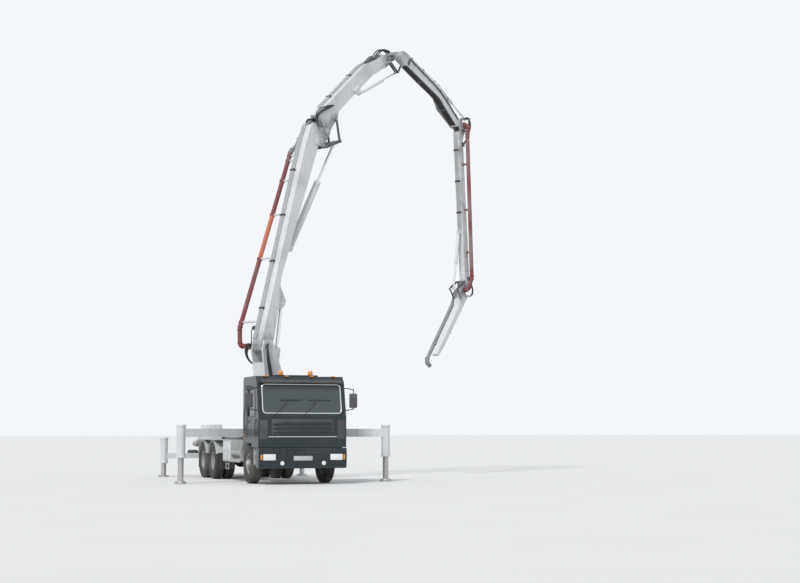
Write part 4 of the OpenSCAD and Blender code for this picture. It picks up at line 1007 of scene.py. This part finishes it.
class PUMP_OT_fenders(bpy.types.Operator):
    """Front fenders with steps, and the air intake behind the cab"""

    bl_idname = "pump.fenders"
    bl_label = "Fenders and intake"
    # Front axle's place as (x, z), the fender's outer radius and its inner one as a share of it
    AXLE = (1.5, 0.54)
    RADIUS = 0.68
    INNER = 0.975

    def execute(self, context):
        x0, z0 = self.AXLE
        arc = []
        for i in range(9):
            a = math.radians(122 + i * 6.5)
            arc.append((x0 + self.RADIUS * math.cos(a), z0 + self.RADIUS * math.sin(a)))
        back = [(x0 + (x - x0) * self.INNER, z0 + (z - z0) * self.INNER) for x, z in reversed(arc)]
        strips = []
        for s in (-1, 1):
            y0, y1 = sorted((s * 0.89, s * 1.222))
            strips.append(plate(arc + back, y0, y1, 0.004))
        strips += both_sides([((2.27, 0.98, z), (2.55, 1.2, z + 0.03)) for z in (0.56, 0.78)])
        strips += both_sides([((x, 0.98, 0.52), (x + 0.015, 1.2, 0.992)) for x in (2.255, 2.55)], 0.004, 1)
        settle("front_fenders", strips, "deck")
        intake = [
            block((0.93, -0.98, 1.3), (1.13, -0.72, 1.75), 0.03, 3),
            round_bar((1.03, -0.85, 1.7), (1.03, -0.85, 2.72), 0.085, 28, 0.004),
            round_bar((1.03, -0.85, 2.7), (1.03, -0.85, 2.86), 0.14, 32, 0.03),
            block((1.1, -0.92, 2.2), (1.16, -0.78, 2.26)),
            block((1.1, -0.92, 1.5), (1.16, -0.78, 1.56)),
        ]
        settle("air_intake", intake, "inside")
        return {"FINISHED"}


class PUMP_OT_deck(bpy.types.Operator):
    """Walkways, tanks, cabinet doors, guards, rear lamps, steps, valves and the hopper's fittings"""

    bl_idname = "pump.deck"
    bl_label = "Deck gear"

    def execute(self, context):
        self.add_walkways()
        self.add_boxes()
        self.add_guards()
        self.add_rear_lamps()
        self.add_flaps_and_steps()
        self.add_valves()
        self.add_hopper_fittings()
        return {"FINISHED"}

    def add_walkways(self):
        """Plates over the rear wheels with rows of studs."""
        walk = both_sides([((-4.62, 0.45, 1.15), (-2.05, 1.22, 1.168))], 0.004, 1)
        studs = both_sides([((-4.55, 0.5, 1.166), (-4.5, 0.512, 1.172))], 0.002, 1)
        for s, stud in zip((-1, 1), studs):
            walk.append(grid_of(stud, ((0.1, 0, 0), 25), ((0, s * 0.09, 0), 8)))
        settle("walkway_plates", walk, "deck")

    def add_boxes(self):
        """Oil tank with its straps and cap, locker on the other side, and doors of the side cabinets."""
        tank = [block((-3.35, 0.5, 1.17), (-2.35, 1.16, 1.72), 0.05, 4)]
        tank += [block((x, 0.49, 1.17), (x + 0.04, 1.17, 1.73), 0.01) for x in (-3.15, -2.59)]
        tank.append(round_bar((-2.6, 0.8, 1.71), (-2.6, 0.8, 1.77), 0.06, 24, 0.01))
        tank.append(block((-4.4, -1.2, 1.17), (-3.3, -0.76, 1.62), 0.03, 3))
        settle("oil_tank_and_locker", tank, "white")
        doors = [((x, 1.176, 0.6), (x + 0.43, 1.19, 1.12)) for x in (-1.37, -0.91)]
        settle("cabinet_doors", both_sides(doors, 0.008), "white")
        latches = [((x, 1.188, 0.84), (x + 0.07, 1.204, 0.88)) for x in (-1.19, -0.73)]
        settle("cabinet_latches", both_sides(latches, 0.004), "steel")

    def add_guards(self):
        """Side guards on their brackets."""
        rails = [((-0.42, 1.17, z), (0.72, 1.195, z + 0.1)) for z in (0.55, 0.78)]
        brackets = [((x, 0.43, 0.79), (x + 0.05, 1.172, 0.84)) for x in (-0.36, 0.62)]
        posts = [((x, 1.155, 0.55), (x + 0.05, 1.172, 0.88)) for x in (-0.36, 0.62)]
        guards = both_sides(rails, 0.008) + both_sides(brackets) + both_sides(posts, 0.004)
        settle("side_guards", guards, "steel")

    def add_rear_lamps(self):
        bar = [block((-6.56, -1.15, 0.66), (-6.5, 1.15, 0.78), 0.01)]
        bar += both_sides([((-6.62, 0.82, 0.63), (-6.55, 1.12, 0.81))], 0.012)
        settle("rear_lamp_bar", bar, "dark")
        for colour, y0, y1 in (("red", 0.84, 0.98), ("amber", 1.0, 1.1)):
            lenses = both_sides([((-6.632, y0, 0.65), (-6.615, y1, 0.79))], 0.008)
            settle(f"rear_{colour}_lamps", lenses, colour)

    def add_flaps_and_steps(self):
        """Mud flaps, and stirrups under the side cabinets, where the folded front legs leave room."""
        flaps = [((x, 0.68, 0.3), (x + 0.012, 1.19, 0.78)) for x in (-1.99, -4.64)]
        settle("mud_flaps", both_sides(flaps, 0.003, 1), "hose")
        steps = []
        for y in (-1.13, 1.13):
            steps += [tube([(x, y, 0.64), (x, y, 0.5), (x, y, 0.34)], 0.014) for x in (-1.2, -0.86)]
            steps += [round_bar((-1.2, y, z), (-0.86, y, z), 0.014, 14) for z in (0.34, 0.48)]
        settle("deck_steps", steps, "steel")

    def add_valves(self):
        """Row of hand levers on their valve block, and its supply hoses."""
        y, levers = 0.86, [-1.28 + 0.09 * i for i in range(6)]
        valves = [block((-1.36, 0.62, 1.16), (-0.74, 0.93, 1.42), 0.015, 3)]
        valves += [round_bar((x, y, 1.42), (x, y, 1.54), 0.009, 10) for x in levers]
        valves += [round_bar((x, y, 1.53), (x, y, 1.57), 0.018, 16, 0.006) for x in levers]
        settle("control_valves", valves, "linkage")
        supply = []
        for i in range(4):
            y = 0.66 + 0.07 * i
            supply.append(tube([
                (-1.36, y, 1.25), (-1.6, y, 1.24), (-1.9, y - 0.03, 1.22), (-2.2, y - 0.05, 1.3),
                (-2.36, y - 0.05, 1.4),
            ], 0.018))
        settle("supply_hoses", supply, "hose")

    def add_hopper_fittings(self):
        motor = [
            round_bar((-5.95, 0.8, 0.85), (-5.95, 0.9, 0.85), 0.12, 28, 0.01),
            round_bar((-5.95, 0.9, 0.85), (-5.95, 1.05, 0.85), 0.085, 28, 0.012),
            block((-6.02, 0.93, 0.91), (-5.88, 1.02, 0.98), 0.01),
        ]
        settle("agitator_motor", motor, "dark")
        lip = [
            block((-6.52, -0.82, 1.33), (-6.49, 0.82, 1.425)),
            block((-5.41, -0.82, 1.33), (-5.38, 0.82, 1.42)),
        ]
        lip += both_sides([((-6.5, 0.798, 1.36), (-5.4, 0.82, 1.42))])
        settle("hopper_lip", lip, "hopper")


class PUMP_OT_slewing(bpy.types.Operator):
    """Slewing ring's teeth and bolts, its motor, and the hoses up the turret"""

    bl_idname = "pump.slewing"
    bl_label = "Slewing gear"

    def execute(self, context):
        centre = (0, 0, 0)
        tooth = block((0.555, -0.011, 1.56), (0.58, 0.011, 1.632), 0.003, 1)
        settle("slewing_ring_teeth", [ring_of(tooth, 84, centre, Z_AXIS)], "steel")
        bolt = round_bar((0.55, 0, 1.7), (0.55, 0, 1.722), 0.018, 6)
        settle("slewing_ring_bolts", [ring_of(bolt, 36, centre, Z_AXIS)], "steel", "turret")
        motor = [
            round_bar((0.33, 0.32, 1.7), (0.33, 0.32, 1.98), 0.1, 28, 0.01),
            round_bar((0.33, 0.32, 1.98), (0.33, 0.32, 2.14), 0.07, 24, 0.012),
            block((0.26, 0.3, 2.0), (0.3, 0.38, 2.1), 0.008),
        ]
        settle("slewing_motor", motor, "linkage", "turret", "turret")
        hoses = []
        for i, y in enumerate((-0.3, -0.345, -0.39)):
            hoses.append(tube([
                (-0.2, y, 1.72), (-0.3, y, 2.1), (-0.5, y, 2.9), (-0.66, y, 3.5),
                (-0.6 - 0.05 * i, y + 0.03, 3.82), (-0.55, -0.262, 3.88),
            ], 0.022))
        for i in range(4):
            z = 0.05 * i
            hoses.append(tube([
                (-0.36, 0.262, 3.3 - z), (-0.46, 0.27, 3.6), (-0.72, 0.275, 3.82 + z),
                (-0.92 - z * 0.6, 0.27, 3.7 + z), (-0.86 - z * 0.5, 0.26, 3.45), (-0.66, 0.25, 3.32),
            ], 0.02))
        settle("turret_hoses", hoses, "hose", "turret", "turret")
        return {"FINISHED"}


class PUMP_OT_outrigger_gear(bpy.types.Operator):
    """Collars and foot dishes of the outriggers"""

    bl_idname = "pump.outrigger_gear"
    bl_label = "Outrigger gear"
    # Front and rear: height of the jack sleeve's lower end, height of the dish on the foot
    SIZES = {"front": (0.7, 0.05), "rear": (0.42, 0.022)}
    FOOT_TOP = 0.04

    def execute(self, context):
        for name in ("front_left", "front_right", "rear_left", "rear_right"):
            low, rise = self.SIZES[name.split("_")[0]]
            lo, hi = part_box("jack_" + name)
            x, y, _ = (lo + hi) / 2
            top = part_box("outrigger_" + name)[1].z
            collar = combine([
                round_bar((x, y, low), (x, y, low + 0.06), 0.138, 32, 0.01),
                round_bar((x, y, top - 0.07), (x, y, top), 0.132, 32, 0.01),
            ])
            collar = carve(collar, round_bar((x, y, low - 0.1), (x, y, top + 0.1), 0.119, 32))
            settle("outrigger_" + name + "_collars", [collar], "white", "outrigger_" + name)
            foot = self.FOOT_TOP
            dish = [round_bar((x, y, foot), (x, y, foot + rise), 0.14, 32, rise * 0.2, 0.095)]
            rib_top = foot + rise * 0.6
            rib = block((x - 0.16, y - 0.006, foot - 0.002), (x + 0.16, y + 0.006, rib_top), 0.003, 1)
            dish.append(ring_of(rib, 3, (x, y, 0), Z_AXIS))
            settle("jack_" + name + "_dish", dish, "steel", "jack_" + name)
        return {"FINISHED"}


OPERATORS = (
    PUMP_OT_stage, PUMP_OT_finishes, PUMP_OT_boom_lines, PUMP_OT_pins, PUMP_OT_work_lamp, PUMP_OT_wheels,
    PUMP_OT_cab, PUMP_OT_fenders, PUMP_OT_deck, PUMP_OT_slewing, PUMP_OT_outrigger_gear,
)
GROUPS = (
    ("boom_look", BoomLook), ("cab_look", CabLook), ("wheel_look", WheelLook), ("stage_look", StageLook),
)


class PUMP_PT_panel(bpy.types.Panel):
    """Sizes, colours and pieces of the pump truck"""

    bl_label = "Pump truck"
    bl_idname = "PUMP_PT_panel"
    bl_space_type = "VIEW_3D"
    bl_region_type = "UI"
    bl_category = "Pump truck"

    def draw(self, context):
        for attr, group in GROUPS:
            for prop in group.__annotations__:
                self.layout.prop(getattr(context.scene, attr), prop)
        for op in OPERATORS:
            self.layout.operator(op.bl_idname)


def register():
    for attr, group in GROUPS:
        bpy.utils.register_class(group)
        setattr(bpy.types.Scene, attr, PointerProperty(type=group))
    for op in OPERATORS:
        bpy.utils.register_class(op)
    bpy.utils.register_class(PUMP_PT_panel)


def unregister():
    bpy.utils.unregister_class(PUMP_PT_panel)
    for op in reversed(OPERATORS):
        bpy.utils.unregister_class(op)
    for attr, group in reversed(GROUPS):
        delattr(bpy.types.Scene, attr)
        bpy.utils.unregister_class(group)


def main():
    register()
    for op in OPERATORS:
        family, name = op.bl_idname.split(".")
        getattr(getattr(bpy.ops, family), name)()


if __name__ == "__main__":
    main()
